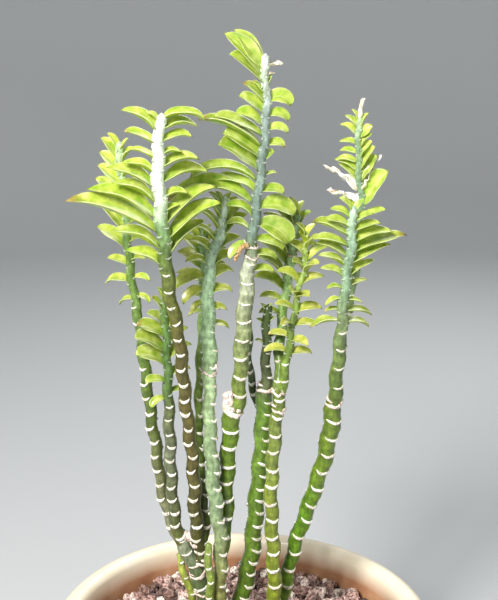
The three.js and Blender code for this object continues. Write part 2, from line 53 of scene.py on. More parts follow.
RIM_SKIRT = 14 * MM
RIM_UNDERSIDE = 16 * MM
RIM_TUCK = [(3 * MM, 14.4 * MM), (0.9 * MM, 12.6 * MM)]
RIM_CLEARANCE = 0.01 * MM
WALL = 6 * MM
WALL_BULGE = 0.8
WALL_STEPS = 12
INNER_TOP = 8 * MM
FOOT_ROUNDING = 3 * MM
FOOT_CHAMFER = 0.8 * MM
FLOOR = 7 * MM
FLOOR_FILLET = 4 * MM
FLOOR_SETBACK = 5 * MM
DRAIN_RADIUS = 7 * MM
DRAIN_CIRCLE = 46 * MM
DRAIN_HOLES = 4
POT_STEPS = 144
GLAZE_AND_SHADE_LINE = 129 * MM
GLAZE_AND_SHADE_FADE = 13 * MM


def smooth_step(low, high, value):
    t = min(max((value - low) / (high - low), 0.0), 1.0)
    return t * t * (3 - 2 * t)


def pot_inner_radius(z):
    bottom = POT_BASE_RADIUS - WALL
    top = POT_RIM_RADIUS - RIM_WIDTH
    t = min(max((z - FLOOR) / (POT_HEIGHT - FLOOR), 0.0), 1.0)
    return bottom + (top - bottom) * math.sin(t * math.pi / 2) ** WALL_BULGE


def finish_piece(mesh_data, name, material, node, smooth=True):
    mesh = bpy.data.meshes.new(name)
    mesh_data.to_mesh(mesh)
    mesh_data.free()
    piece = bpy.data.objects.new(name, mesh)
    bpy.context.collection.objects.link(piece)
    mesh.polygons.foreach_set("use_smooth", [smooth] * len(mesh.polygons))
    mesh.materials.append(material)
    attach(piece, "root")
    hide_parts(node)
    return piece


def pour(batch, target):
    """Moves a batch of shapes into a larger mesh, which keeps each operator's work small."""
    held = bpy.data.meshes.new("batch")
    batch.to_mesh(held)
    batch.free()
    target.from_mesh(held)
    bpy.data.meshes.remove(held)


def linear(hex_colour):
    channels = [int(hex_colour[i:i + 2], 16) / 255 for i in (1, 3, 5)]
    lit = [c / 12.92 if c <= 0.04045 else ((c + 0.055) / 1.055) ** 2.4 for c in channels]
    return (*lit, 1.0)


def new_material(name, finish):
    """A material with one shader.  The finish is what is the same all over the surface."""
    material = bpy.data.materials.new(name)
    material.use_nodes = True
    tree = material.node_tree
    tree.nodes.clear()
    output = tree.nodes.new("ShaderNodeOutputMaterial")
    shader = tree.nodes.new("ShaderNodeBsdfPrincipled")
    tree.links.new(shader.outputs[0], output.inputs[0])
    for socket, value in finish.items():
        shader.inputs[socket].default_value = value
    return material, tree, shader


def add_node(tree, kind, settings=None, values=None, links=None, stops=None, feeds=None):
    """Adds a shader node: its settings, its unlinked values, what feeds its inputs, a ramp's stops
    and what its first output feeds.  Gives back its outputs."""
    node = tree.nodes.new("ShaderNode" + kind)
    for key, value in (settings or {}).items():
        setattr(node, key, value)
    for key, value in (values or {}).items():
        node.inputs[key].default_value = value
    for key, source in (links or {}).items():
        tree.links.new(source, node.inputs[key])
    for i, (position, colour) in enumerate(stops or []):
        if i >= len(node.color_ramp.elements):
            node.color_ramp.elements.new(position)
        node.color_ramp.elements[i].position = position
        node.color_ramp.elements[i].color = colour
    if feeds:
        tree.links.new(node.outputs[0], feeds)
    return node.outputs


BLEND = {"data_type": "RGBA"}


def glazed_stoneware():
    """Glossy cream glaze poured over a tan body, thin and warm where it ends; the tan inside is painted
    shade too.
    """
    material, tree, shader = new_material("glazed_stoneware", {"IOR": 1.5})
    place = add_node(tree, "TexCoord")["Object"]
    glaze_and_inner_shade = add_node(tree, "Attribute", {"attribute_name": "glaze_and_inner_shade"})["Fac"]
    blotch = add_node(tree, "TexNoise", None, {"Scale": 45.0, "Detail": 4.0}, {"Vector": place})
    # The tan body ramp also serves as painted shade on the inside of the pot.
    body = add_node(tree, "ValToRGB", links={"Fac": blotch["Fac"]}, stops=[
        (0.3, linear("#9C6746")), (0.5, linear("#B4825E")), (0.7, linear("#C49672"))])
    coat = add_node(tree, "ValToRGB", links={"Fac": blotch["Fac"]}, stops=[
        (0.3, linear("#F5E8CC")), (0.5, linear("#F8ECD2")), (0.72, linear("#FAF0DC"))])
    skin = add_node(tree, "Mix", BLEND, links={0: glaze_and_inner_shade, 6: body[0], 7: coat[0]})
    tree.links.new(skin[2], shader.inputs["Base Color"])
    add_node(tree, "MapRange", None, {"To Min": 0.7, "To Max": 0.3}, {"Value": glaze_and_inner_shade},
             feeds=shader.inputs["Roughness"])
    grain = add_node(tree, "TexNoise", None, {"Scale": 900.0, "Detail": 3.0}, {"Vector": place})
    add_node(tree, "Bump", None, {"Strength": 0.12, "Distance": 0.0004},
             {"Height": grain["Fac"]}, feeds=shader.inputs["Normal"])
    return material


pot_profile = [
    (0.0, 0.0), (POT_BASE_RADIUS - FOOT_ROUNDING, 0.0), (POT_BASE_RADIUS - FOOT_CHAMFER, FOOT_CHAMFER)]
for step in range(WALL_STEPS):
    z = FOOT_ROUNDING + (POT_HEIGHT - RIM_UNDERSIDE - FOOT_ROUNDING) * step / (WALL_STEPS - 1)
    pot_profile.append((pot_inner_radius(z) + WALL, z))
rim_middle = POT_RIM_RADIUS - RIM_WIDTH / 2 - RIM_CLEARANCE
for inset, drop in RIM_TUCK:
    pot_profile.append((POT_RIM_RADIUS - inset, POT_HEIGHT - drop))
for degrees in range(-24, 181, 12):
    angle = math.radians(degrees)
    height = RIM_CROWN if degrees > 0 else RIM_SKIRT
    pot_profile.append((
        rim_middle + math.cos(angle) * RIM_WIDTH / 2,
        POT_HEIGHT - RIM_CROWN + math.sin(angle) * height))
inner_height = POT_HEIGHT - INNER_TOP - FLOOR_FILLET - FLOOR
for step in range(1, WALL_STEPS + 1):
    z = POT_HEIGHT - INNER_TOP - inner_height * step / WALL_STEPS
    pot_profile.append((pot_inner_radius(z), z))
pot_profile.append((POT_BASE_RADIUS - WALL - FLOOR_SETBACK, FLOOR))
pot_profile.append((0.0, FLOOR))

turned = bmesh.new()
outline = [turned.verts.new((radius, 0.0, z)) for radius, z in pot_profile]
edges = [turned.edges.new(pair) for pair in zip(outline, outline[1:])]
bmesh.ops.spin(
    turned, geom=outline + edges, cent=(0, 0, 0), axis=(0, 0, 1), dvec=(0, 0, 0),
    angle=2 * math.pi, steps=POT_STEPS, use_merge=True)
bmesh.ops.remove_doubles(turned, verts=turned.verts, dist=1e-6)
bmesh.ops.recalc_face_normals(turned, faces=turned.faces)
glaze_and_shade_layer = turned.verts.layers.float.new("glaze_and_inner_shade")
for vert in turned.verts:
    radius = math.hypot(vert.co.x, vert.co.y)
    wall_middle = min(rim_middle, pot_inner_radius(vert.co.z) + WALL / 2)
    inside = radius < wall_middle and vert.co.z > FLOOR / 2
    # Inside, below the mouth, the mask falls to the tan body, which is also painted shade.
    vert[glaze_and_shade_layer] = smooth_step(GLAZE_AND_SHADE_LINE - GLAZE_AND_SHADE_FADE, GLAZE_AND_SHADE_LINE, vert.co.z) if inside else 1.0
pot = finish_piece(turned, "stoneware_pot", glazed_stoneware(), "pot")

drill = bmesh.new()
for i in range(DRAIN_HOLES):
    angle = 2 * math.pi * (i + 0.5) / DRAIN_HOLES
    at = Vector((math.cos(angle) * DRAIN_CIRCLE, math.sin(angle) * DRAIN_CIRCLE, FLOOR / 2))
    bmesh.ops.create_cone(
        drill, cap_ends=True, segments=32, radius1=DRAIN_RADIUS, radius2=DRAIN_RADIUS,
        depth=3 * FLOOR, matrix=Matrix.Translation(at))
drill_mesh = bpy.data.meshes.new("drain_drill")
drill.to_mesh(drill_mesh)
drill.free()
drill_object = bpy.data.objects.new("drain_drill", drill_mesh)
bpy.context.collection.objects.link(drill_object)
holes = pot.modifiers.new("drain_holes", "BOOLEAN")
holes.object = drill_object
holes.operation = "DIFFERENCE"
bpy.context.view_layer.update()
drilled = bpy.data.meshes.new_from_object(pot.evaluated_get(bpy.context.evaluated_depsgraph_get()))
pot.modifiers.clear()
pot.data = drilled
bpy.data.objects.remove(drill_object)


# ---- Potting mix ----
# Peat and fine bark that the feet of the canes stand in.  It fills the pot below the grit, and
# only the drain holes show it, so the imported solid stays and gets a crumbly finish.
def potting_peat():
    """Peat with bark crumbs: nearly black, matt, in grains of about 2 mm."""
    material, tree, shader = new_material("potting_peat", {"Roughness": 0.95})
    place = add_node(tree, "TexCoord")["Object"]
    crumbs = add_node(tree, "TexVoronoi", None, {"Scale": 500.0}, {"Vector": place})
    add_node(tree, "ValToRGB", links={"Fac": crumbs["Distance"]},
             stops=[(0.0, linear("#5A4634")), (0.7, linear("#2A2019"))], feeds=shader.inputs["Base Color"])
    add_node(tree, "Bump", None, {"Strength": 0.8, "Distance": 0.0012},
             {"Height": crumbs["Distance"]}, feeds=shader.inputs["Normal"])
    return material


mix_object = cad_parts["potting_mix"]
mix_object.data.materials.clear()
mix_object.data.materials.append(potting_peat())


# ---- Canes: how they grow ----
# Upright succulent canes, each grown from its clump's foot.  Rows are (x, y, z, radius) in
# millimetres from the tip down.  Each rank gives its first and last height and its leaves'
# lengths from the top down; rise, roll, turn and bend are in degrees, blunt and broad are shares.
CLUMPS = {
    "canes_left": [{
        "rows": [
            [-47, -28, 468, 2.9], [-49, -28, 445, 3.8], [-48.5, -28, 422, 4.1], [-46.5, -27, 397, 4.4],
            [-44, -25, 364, 4.1], [-39, -22, 336, 3.8], [-35.5, -15, 288, 3.9], [-32, -8, 245, 4],
            [-31, -4, 208, 4.3], [-29, 0, 185, 4.6], [-28, 0, 170, 4.2]],
        "plane": 12,
        "left": {
            "top": 466, "bottom": 381, "lengths": [10, 25, 21, 16, 21, 32, 30, 46, 60, 34, 25],
            "rise": [40, 22, 22, 24, 20, 24], "bend": [50, 46, 40, 38, 36]},
        "right": {
            "top": 467, "bottom": 387, "lengths": [25, 22, 19, 13, 24, 30, 16, 11, 40, 41, 32],
            "rise": [0, 8, 12, 10, 32, 40], "bend": [80, 60, 50, 40]},
    }, {
        "rows": [
            [-76.5, 12, 448, 2.5], [-73, 12, 401, 2.6], [-71.5, 10, 377, 2.8], [-69, 8, 357, 2.9],
            [-66, 6, 338, 3.2], [-62.5, 4, 306, 3.5], [-59, 2, 274, 3.6], [-56, 2, 251, 3.6],
            [-53.5, 2, 227, 3.6], [-48, 1, 203, 3.7], [-40, 0, 186, 4]],
        "plane": -22,
        "left": {
            "top": 446, "bottom": 352, "lengths": [12, 18, 20, 22, 24, 22, 30, 25, 16, 19, 12],
            "rise": [58, 44, 34, 36, 50, 30, 0, -25], "roll": [30, 24], "bend": [40, 30, 30, 40, 80]},
        "right": {
            "top": 444, "bottom": 354, "lengths": [11, 15, 18, 20, 21, 20, 17, 11, 12, 11],
            "rise": [55, 40, 28, 20, 10, -20], "roll": [30, 24], "bend": [40, 40, 60, 90]},
    }, {
        "rows": [
            [-48.5, -10, 356, 2.4], [-47.5, -10, 327, 2.7], [-47, -9, 295, 3.2], [-46.5, -7, 255, 3.7],
            [-46, -5, 229, 3.7], [-44, -2, 201, 3.9], [-40, 0, 186, 4]],
        "plane": 28,
        "left": {
            "top": 355, "bottom": 292, "lengths": [10, 13, 15, 21, 24, 23, 14, 12], "blunt": [1, 1],
            "rise": [66, 50, 30, 28, 34, 10, -25], "roll": [34, 30], "bend": [40, 40, 50, 90],
            "broad": [1, 1, 1.1, 1.25, 1.25, 1.25, 1.1, 1]},
        "right": {
            "top": 354, "bottom": 295, "lengths": [9, 11, 14, 17, 18, 15, 11],
            "rise": [62, 48, 34, 22, -5], "roll": [30, 24], "bend": [40, 60, 90]},
    }, {
        "rows": [
            [-26, 34, 390, 2.4], [-25.5, 32, 349, 2.9], [-28, 25, 306, 2.9], [-29, 16, 268, 2.9],
            [-26.5, 9, 223, 3], [-25.5, 4, 201, 3.4], [-27, 1, 184, 4], [-28, 0, 170, 4.2]],
        "plane": -25,
        "left": {
            "top": 388, "bottom": 338, "lengths": [12, 17, 20, 22, 20, 15, 12], "rise": [62, 40, 15, -25],
            "roll": [30, 24]},
        "right": {
            "top": 386, "bottom": 342, "lengths": [12, 16, 19, 19, 15, 12], "rise": [60, 36, 20, -5],
            "roll": [30, 24]},
    }, {
        "rows": [
            [-42.5, 0, 194, 3.6], [-37, 0, 180, 4.6], [-30.5, 0, 165, 5], [-27, 0, 150, 5],
            [-25, 0, 128, 5.2], [-24, 0, 78, 3.4]],
    }, {
        "rows": [
            [-43, 4, 176, 2.3], [-38.5, 2, 160, 2.5], [-34, 0, 145, 2.6], [-31, -1, 126, 2.6],
            [-28, -1, 78, 2.2]],
    }],
    "canes_middle": [{
        "rows": [
            [-11.5, 16, 413, 2.8], [-13.5, 16, 395, 3.5], [-19.5, 13, 377, 3.8], [-22, 9, 357, 4.1],
            [-21, 1, 307, 4.7], [-21.3, -1, 295, 4], [-21, -5, 266, 4.1], [-18, -9, 221, 4.5],
            [-15, -10, 199, 4.3], [-14.5, -10, 183, 4.3], [-16, -10, 150, 4.5], [-15, -10, 120, 4.6],
            [-15, -10, 78, 3.4]],
        "plane": 20,
        "left": {
            "top": 411, "bottom": 350, "lengths": [10, 16, 20, 20, 18, 18, 16, 22, 17, 11],
            "rise": [62, 50, 45, 30, -25, -35], "roll": [20, 24, 30], "bend": [50, 50, 80, 100]},
        "right": {
            "top": 410, "bottom": 336, "lengths": [10, 15, 20, 24, 20, 19, 17, 15, 12, 14],
            "rise": [62, 48, 40, 22, 15, 0, -20], "roll": [24, 30], "bend": [50, 50, 60, 110, 60]},
    }, {
        "rows": [
            [13, -2, 501, 2.5], [14.5, -2, 470, 2.7], [12, -2, 440, 2.9], [7.5, -2, 404, 3.2],
            [3, -1, 365, 4.5], [0, 0, 330, 4.9], [-2, 0, 300, 4.4], [-2.8, 1, 286, 4.5],
            [-6.5, 1, 277, 5.7], [-8.8, 2, 258, 5.2], [-11, 2, 223, 4.7], [-11, 0, 206, 4.6],
            [-13, -6, 192, 4.5], [-14.5, -10, 180, 4]],
        "plane": 12,
        "left": {
            "top": 495, "bottom": 391, "blunt": [0, 1, 1, 1, 0], "turn": [0, 0, 0, -8, 0],
            "lengths": [29, 35, 29, 12, 19, 20, 20, 33, 43, 29, 31, 42, 26, 54, 19, 17, 17],
            "rise": [55, 45, 42, 44, 44, 34, 24, 22, 26, 34, 32, 6, 18, 3, 24, 14, -40],
            "roll": [62, 60, 50, 30, 30, 40, 36, 22, 14, 44, 44, 20, 24, 30, 24, 16, 24],
            "broad": [0.9, 1, 1.05, 0.9, 1.1, 1.15, 1.1, 0.9, 0.9, 1.35, 1.35, 0.8, 1, 0.8, 1, 1, 1.1],
            "bend": [18, 26, 30, 30, 34, 34, 38, 40, 44, 44, 44, 84, 84, 92, 70, 60, 50]},
        "right": {
            "top": 497, "bottom": 372, "blunt": [0, 0.2, 1, 1, 1, 1, 1, 1],
            "lengths": [11, 6, 10, 14, 13, 13, 12, 9, 10, 15, 24, 25, 20, 16, 15],
            "rise": [6, 30, 72, -8, -14, -10, -10, 44, 8, -6, -14, -34, -24, -16, -8],
            "roll": [10, 30, 20, 60, 50, 46, 44, 50, 16, 40, 40, 56, 36, 30, 24],
            "broad": [1, 1, 0.8, 1.5, 1.25, 1.1, 1.2, 1.2, 0.8, 1.1, 1.2, 1.3, 1.1, 1, 1],
            "bend": [30, 30, 16, 130, 110, 100, 96, 60, 40, 70, 74, 66, 60, 80, 80]},
    }, {
        "rows": [
            [-23, -16, 193, 2.2], [-21.5, -17, 173, 2.6], [-21, -17, 150, 2.6], [-20, -15, 120, 2.6],
            [-17, -12, 85, 2.2]],
    }, {
        "rows": [
            [-9.8, -1, 290, 2.8], [-9.4, -0.5, 285, 3.5], [-8, 1, 274, 3.8]],
    }],
    "canes_behind": [{
        "rows": [
            [15.5, 9, 345, 2.8], [15, 10, 317, 3.1], [15, 12, 297, 3.5], [14.5, 12.5, 290, 5.1],
            [12, 13, 245, 5.1], [8.5, 11, 207, 5.3], [6, 9, 177, 5.4], [2, 8, 157, 5.4],
            [-2, 7, 138, 5.4], [-6, 6, 112, 5.4], [-8, 6, 78, 3.6]],
        "left": {"top": 343, "bottom": 322, "lengths": [7, 8, 7], "rise": [60, 40, 20]},
        "right": {"top": 344, "bottom": 325, "lengths": [6, 7, 6], "rise": [60, 44, 30]},
    }, {
        "rows": [
            [4, 20, 346, 1.9], [4, 19.5, 321, 2.1], [4.5, 19, 300, 2.3], [9, 16, 281, 2.6],
            [13, 13, 272, 2.6]],
    }],
    "canes_right_middle": [{
        "rows": [
            [34.5, 26, 401, 2.5], [32, 26, 383, 2.9], [28.5, 24, 357, 3.2], [24, 15, 322, 3.3],
            [23.5, 4, 292, 3.9], [21.5, 2, 269, 4.1], [19, 0, 238, 4.2], [18.5, -1, 218, 4.3],
            [20, -3, 181, 4.4], [21, -4, 150, 4.7], [21.5, -4, 115, 4.8], [21.5, -4, 78, 3.4]],
        "plane": 16,
        "left": {
            "top": 400, "bottom": 338, "lengths": [15, 22, 26, 29, 31, 31, 28, 23, 17, 16],
            "rise": [75, 58, 50, 48, 40, 30, 20, 10], "roll": [36, 30, 24], "bend": [40, 50, 60]},
        "right": {
            "top": 399, "bottom": 352, "lengths": [14, 16, 16, 17, 15, 13, 11], "rise": [70, 30, 10, -15],
            "roll": [24, 24]},
    }, {
        "rows": [
            [39, 7, 393, 1.7], [39.5, 7, 374, 1.9], [35.5, 6, 359, 2.1], [31.5, 5, 334, 2.4],
            [26.5, 4, 303, 3.2], [23.5, 4, 288, 4]],
        "left": {
            "top": 391, "bottom": 318, "lengths": [12, 15, 17, 16, 17, 16, 14, 13, 14, 15],
            "rise": [60, 40, 30, 24, 8, 0], "roll": [34, 26],
            "turn": [30, 60, 0, 60, 0, 65, 10, 60, 0, 0], "bend": [50, 60, 70]},
        "right": {
            "top": 390, "bottom": 316, "lengths": [12, 15, 16, 17, 16, 17, 17, 15, 15, 15],
            "rise": [60, 34, 26, 16, 0, 0], "roll": [34, 26], "turn": [0, 50, 0, 55, 0, 60, 10, 0, 40, 0],
            "bend": [50, 60, 70]},
    }],
    "canes_right": [{
        "rows": [
            [66, -18, 413, 2.4], [65.5, -18, 393, 3], [62.5, -16, 364, 3.2], [61, -11, 333, 3.7],
            [59.5, -7, 308, 4.2], [58.5, -3, 288, 4.6], [58, -1, 281, 5.4], [57, 0, 270, 5.6],
            [53.5, 4, 246, 5.2], [44, 9, 210, 5], [36, 12, 183, 4.7], [30, 12, 156, 4.4],
            [26, 12, 130, 4.5], [24, 12, 78, 3.4]],
        "plane": 14,
        "left": {
            "top": 412, "bottom": 344, "lengths": [11, 15, 18, 26, 24, 22, 20, 17, 11, 12, 11, 20],
            "rise": [50, 25, 18, 22, 16, 24, 22, 20, 0, -18, -5, -11], "roll": [24, 12],
            "broad": [1, 0.84], "bend": [50, 30, 40, 60, 40]},
        "right": {
            "top": 411, "bottom": 342, "lengths": [11, 13, 18, 26, 38, 28, 20, 15, 11, 19, 18],
            "rise": [50, 20, 15, 12, 14, 26, 28, 12, -12, -14, -12], "roll": [24, 12],
            "broad": [1, 1, 0.9, 0.85, 0.7, 0.8, 0.85, 1], "bend": [50, 36, 24, 40, 60]},
    }, {
        "rows": [
            [71, 8, 464, 1.9], [71.5, 8, 436, 2.1], [73.5, 8, 414, 2.3], [73.5, 8, 392, 2.4],
            [69, 6, 358, 2.6], [62, 3, 319, 3], [58.5, -1, 284, 3.8]],
        "plane": -18,
        "left": {
            "top": 463, "bottom": 408, "lengths": [9, 12, 14, 12, 12, 15, 17, 17, 28, 24, 16],
            "rise": [60, 40, 26, 5, 5, 4, 26, 38, 34, 14, 30], "roll": [20, 20, 24, 30],
            "bend": [40, 40, 40, 40, 30, 20, 16]},
        "right": {
            "top": 464, "bottom": 404, "lengths": [14, 11, 11, 12, 14, 18, 20, 27, 28, 16],
            "rise": [80, 60, 40, 50, 55, 60, 60, 66, 52, 20],
            "roll": [10, 30, 60, 50, 50, 56, 60, 30, 66, 30],
            "broad": [0.8, 1, 1.3, 1.1, 1.1, 1.2, 1.2, 0.8, 1.4, 1], "bend": [20, 40, 60, 40, 30, 24]},
    }],
}

# For each cane: its skin's colour at heights from the tip down, its young and old leaves' colours,
# its scars' facing, spacing and half sweep, and its healed joints as heights and thicknesses.
LOOKS = {
    "canes_left": [
        # Near-white skin at this tip: wax bloom and painted highlight where the light falls strongest.
        {"skin": [(470, "#CCD5C9"), (428, "#C6D2C2"), (414, "#9AAE8E"), (402, "#688454"), (386, "#4C5E28"),
                  (360, "#4A501A"), (330, "#484318"), (250, "#443E16"), (170, "#3E4220")],
         "leaves": ("#A8BE29", "#9BB11D"), "scars": (-95, 10.2, 40), "joints": [(174, 2.2)]},
        {"skin": [(450, "#A9BE94"), (410, "#7E9A68"), (380, "#5E7A34"), (345, "#5A7238"), (310, "#465A20"),
                  (270, "#43501E"), (240, "#4E522E"), (186, "#6A6C50")],
         "leaves": ("#ABBC27", "#9FB01E"), "scars": (-120, 9.8, 48)},
        {"skin": [(356, "#5E7A40"), (320, "#52703A"), (295, "#48602C"), (284, "#4A5230"), (256, "#525840"),
                  (205, "#444A26"), (186, "#5A6030")],
         "leaves": ("#8EA41A", "#849816"), "scars": (-85, 9.4, 46)},
        {"skin": [
            (390, "#7C9A70"), (345, "#76945C"), (300, "#6C8438"), (265, "#47591C"), (170, "#3C4818")],
         "leaves": ("#A2B320", "#939618"), "scars": (-60, 10.4, 46)},
        {"skin": [(194, "#7A806A"), (165, "#4C5A38"), (110, "#46532E")], "scars": (-80, 8.6, 60),
         "joints": [(193, 2.4), (165, 1.8), (152, 1.8), (141, 1.6)]},
        {"skin": [(176, "#848E3C"), (110, "#5E6C1C")], "scars": (-60, 11, 46)},
    ],
    "canes_middle": [
        # Pale skin at this tip: wax bloom and painted light, lighter than its own colour in the shade of
        # the leaves round it.
        {"skin": [(413, "#DDEBDF"), (390, "#B4CCB4"), (360, "#93B08A"), (340, "#7C9670"), (290, "#7C9068"),
                  (215, "#6A7C5A"), (165, "#6E7240"), (110, "#60682E")],
         "leaves": ("#98B11F", "#969C1A"), "scars": (-32, 11.2, 44), "joints": [(305, 1.6)]},
        {"skin": [(501, "#C6D0C0"), (488, "#A0AE98"), (470, "#7E8E84"), (450, "#6E7F75"), (395, "#5E7063"),
                  (388, "#50603A"), (376, "#8F9580"), (340, "#737C58"), (300, "#5A682A"), (262, "#4C6412"),
                  (180, "#3E520C")],
         "leaves": ("#96AF21", "#8AA51A"), "scars": (-88, 12.2, 62),
         "joints": [(388, 1.5), (381, 1.2), (279, 2.2)], "bare_below": 376,
         "dry": {("right", 0): 0.86, ("right", 1): 0.86}, "burnt": {("left", 3): 0.8, ("left", 4): 0.8}},
        {"skin": [(193, "#6E8038"), (110, "#566424")], "scars": (-90, 10.5, 50)},
        {"skin": [(290, "#E8D6CE"), (283, "#DCCDB8"), (276, "#8C9A5A")], "scars": (-90, 40, 50)},
    ],
    "canes_behind": [
        {"skin": [(345, "#34441C"), (310, "#30381C"), (292, "#444C30"), (280, "#506A24"), (200, "#486018"),
                  (110, "#445A16")],
         "leaves": ("#7A941D", "#728918"), "scars": (-42, 8.6, 50), "joints": [(291, 2.6)]},
        {"skin": [(346, "#3C4A2C"), (272, "#303E1C")], "scars": (-90, 7, 50)},
    ],
    "canes_right_middle": [
        {"skin": [(401, "#9DB590"), (365, "#84A46A"), (345, "#6E8C44"), (310, "#52662A"), (285, "#56642A"),
                  (250, "#62702E"), (220, "#606C20"), (110, "#68741E")],
         "leaves": ("#9AB120", "#90A21A"), "scars": (-88, 11.6, 56),
         "joints": [(377, 1.6), (291, 2.2), (280, 2.0)]},
        {"skin": [(393, "#94A854"), (340, "#5E7434"), (288, "#566A22")],
         "leaves": ("#A5B023", "#97981A"), "scars": (-80, 11, 50)},
    ],
    "canes_right": [
        {"skin": [(413, "#98B094"), (390, "#7A9478"), (365, "#76906E"), (345, "#66764E"), (320, "#50622E"),
                  (285, "#4C5E1A"), (240, "#506614"), (205, "#4B6C12"), (110, "#425E10")],
         "leaves": ("#9FB927", "#96A620"), "scars": (-68, 12.4, 56), "joints": [(287, 2.4)],
         "burnt": {("right", 4): 0.8, ("left", 11): 0.6}},
        {"skin": [(464, "#94AC86"), (444, "#6E8862"), (410, "#728C6C"), (360, "#6A8052"), (325, "#4E5C34"),
                  (300, "#48582A"), (280, "#3E4818")],
         "leaves": ("#ABBC32", "#9CB725"), "scars": (-70, 11, 50),
         "dry": {("left", 8): 1.0, ("left", 9): 1.0, ("right", 0): 0.9, ("right", 7): 1.0}},
    ],
}
CANE_SIDES = 20
RING_STEP = 2.0
ZIGZAG = 0.7
ZIGZAG_STEP = 12.0


def blend_slope(rows, i, column):
    before = rows[max(i - 1, 0)]
    after = rows[min(i + 1, len(rows) - 1)]
    return (after[column] - before[column]) / (after[2] - before[2])


def cane_at(rows, z):
    """Centre and radius of a cane at height z, smooth through its rows."""
    i = 0
    while i < len(rows) - 2 and z < rows[i + 1][2]:
        i += 1
    step = rows[i + 1][2] - rows[i][2]
    t = min(max((z - rows[i][2]) / step, 0.0), 1.0)
    found = []
    for column in (0, 1, 3):
        rising = blend_slope(rows, i, column) * step
        falling = blend_slope(rows, i + 1, column) * step
        found.append(
            (2 * t ** 3 - 3 * t ** 2 + 1) * rows[i][column] + (t ** 3 - 2 * t ** 2 + t) * rising
            + (3 * t ** 2 - 2 * t ** 3) * rows[i + 1][column] + (t ** 3 - t ** 2) * falling)
    return Vector((found[0], found[1], z)), found[2]


def cane_frame(rows, z):
    """Centre, radius, across, inward and upward directions of a cane at height z."""
    centre, radius = cane_at(rows, z)
    tangent = (cane_at(rows, z + 1)[0] - cane_at(rows, z - 1)[0]).normalized()
    across = (Vector((1, 0, 0)) - tangent * tangent.x).normalized()
    fade = smooth_step(0, ZIGZAG_STEP, z - rows[-1][2])
    centre.x += ZIGZAG * math.cos(math.pi * (rows[0][2] - z) / ZIGZAG_STEP) * fade
    return centre, radius, across, tangent.cross(across), tangent


# ---- Lava grit ----
# Crushed reddish lava, 5 to 10 mm, with a few pale stones, spread over the potting mix.  Angular
# stones lie two deep round the canes on a dark bed, coloured as painted shade for the gaps between them.
GRIT_LEVEL = 112
GRIT_SPACING = 6.6
GRIT_COLOURS = ["#B79A92", "#A3857D", "#84695F", "#CDB4AB", "#967A71", "#DFCDC5", "#B0928A"]
PALE_STONE = "#EFE6DA"
PALE_SHARE = 0.05
SHADE_BED_COLOUR = "#2E1F1A"
SHADE_BED_DEPTH = 8
SHADE_BED_DROP = 4.6
GRIT_RIM_GAP = 4.2
GRIT_ROW_SHARE = 0.866
GRIT_SCATTER = 1.8
GRIT_UNEVENNESS = 1.0
# Each layer's tone is painted light: the lower stones are darkened as painted shade in the gaps under the
# top stones, and the top stones are painted lighter as the lit layer.
GRIT_LAYERS = [
    {"height": -2.9, "kept": 1.0, "sizes": (7.0, 9.6), "tone": 0.6},
    {"height": 0.0, "kept": 0.6, "sizes": (5.4, 9.4), "tone": 1.2},
]
MULTIPLY = {"data_type": "RGBA", "blend_type": "MULTIPLY"}


def porous_lava():
    """Frothy volcanic rock: matt, pitted by gas bubbles of about 1 mm, dusty pink to brown."""
    material, tree, shader = new_material("porous_lava", {"Roughness": 0.9})
    place = add_node(tree, "TexCoord")["Object"]
    stone = add_node(tree, "Attribute", {"attribute_name": "stone"})["Color"]
    pores = add_node(tree, "TexVoronoi", None, {"Scale": 800.0}, {"Vector": place})
    dust = add_node(tree, "TexNoise", None, {"Scale": 520.0, "Detail": 5.0}, {"Vector": place})
    shade = add_node(tree, "ValToRGB", links={"Fac": dust["Fac"]}, stops=[
        (0.36, (0.2, 0.15, 0.13, 1)), (0.5, (0.95, 0.93, 0.92, 1)), (0.63, (1.8, 1.74, 1.68, 1))])
    skin = add_node(tree, "Mix", MULTIPLY, {0: 0.9}, {6: stone, 7: shade[0]})
    tree.links.new(skin[2], shader.inputs["Base Color"])
    height = add_node(tree, "Math", {"operation": "MULTIPLY"}, links={
        0: pores["Distance"], 1: dust["Fac"]})
    add_node(tree, "Bump", None, {"Strength": 1.0, "Distance": 0.002},
             {"Height": height[0]}, feeds=shader.inputs["Normal"])
    return material


def clear_of_canes(x, y, reach):
    for canes in CLUMPS.values():
        for cane in canes:
            if cane["rows"][-1][2] < GRIT_LEVEL:
                centre, radius = cane_at(cane["rows"], GRIT_LEVEL)
                if math.hypot(x - centre.x, y - centre.y) < radius + reach:
                    return False
    return True


def lay_stone(target, layer, rolls, x, y, z, size, colour):
    """A ball squashed, turned and roughened by chance into an angular stone."""
    stone = bmesh.ops.create_icosphere(target, subdivisions=2, radius=1.0)["verts"]
    offset = Vector((rolls.uniform(0, 50), rolls.uniform(0, 50), rolls.uniform(0, 50)))
    stretch = Vector((rolls.uniform(0.8, 1.25), rolls.uniform(0.75, 1.1), rolls.uniform(0.65, 0.95)))
    turn = Matrix.Rotation(rolls.uniform(0, math.tau), 3, "Z")
    turn @= Matrix.Rotation(rolls.uniform(-0.6, 0.6), 3, "X")
    for vert in stone:
        lump = 1 + 0.5 * noise.noise(vert.co * 1.2 + offset) + 0.4 * noise.noise(vert.co * 2.9 + offset)
        body = turn @ Vector([vert.co[k] * stretch[k] * lump * size / 2 for k in range(3)])
        vert.co = (body + Vector((x, y, z))) * MM
        vert[layer] = colour


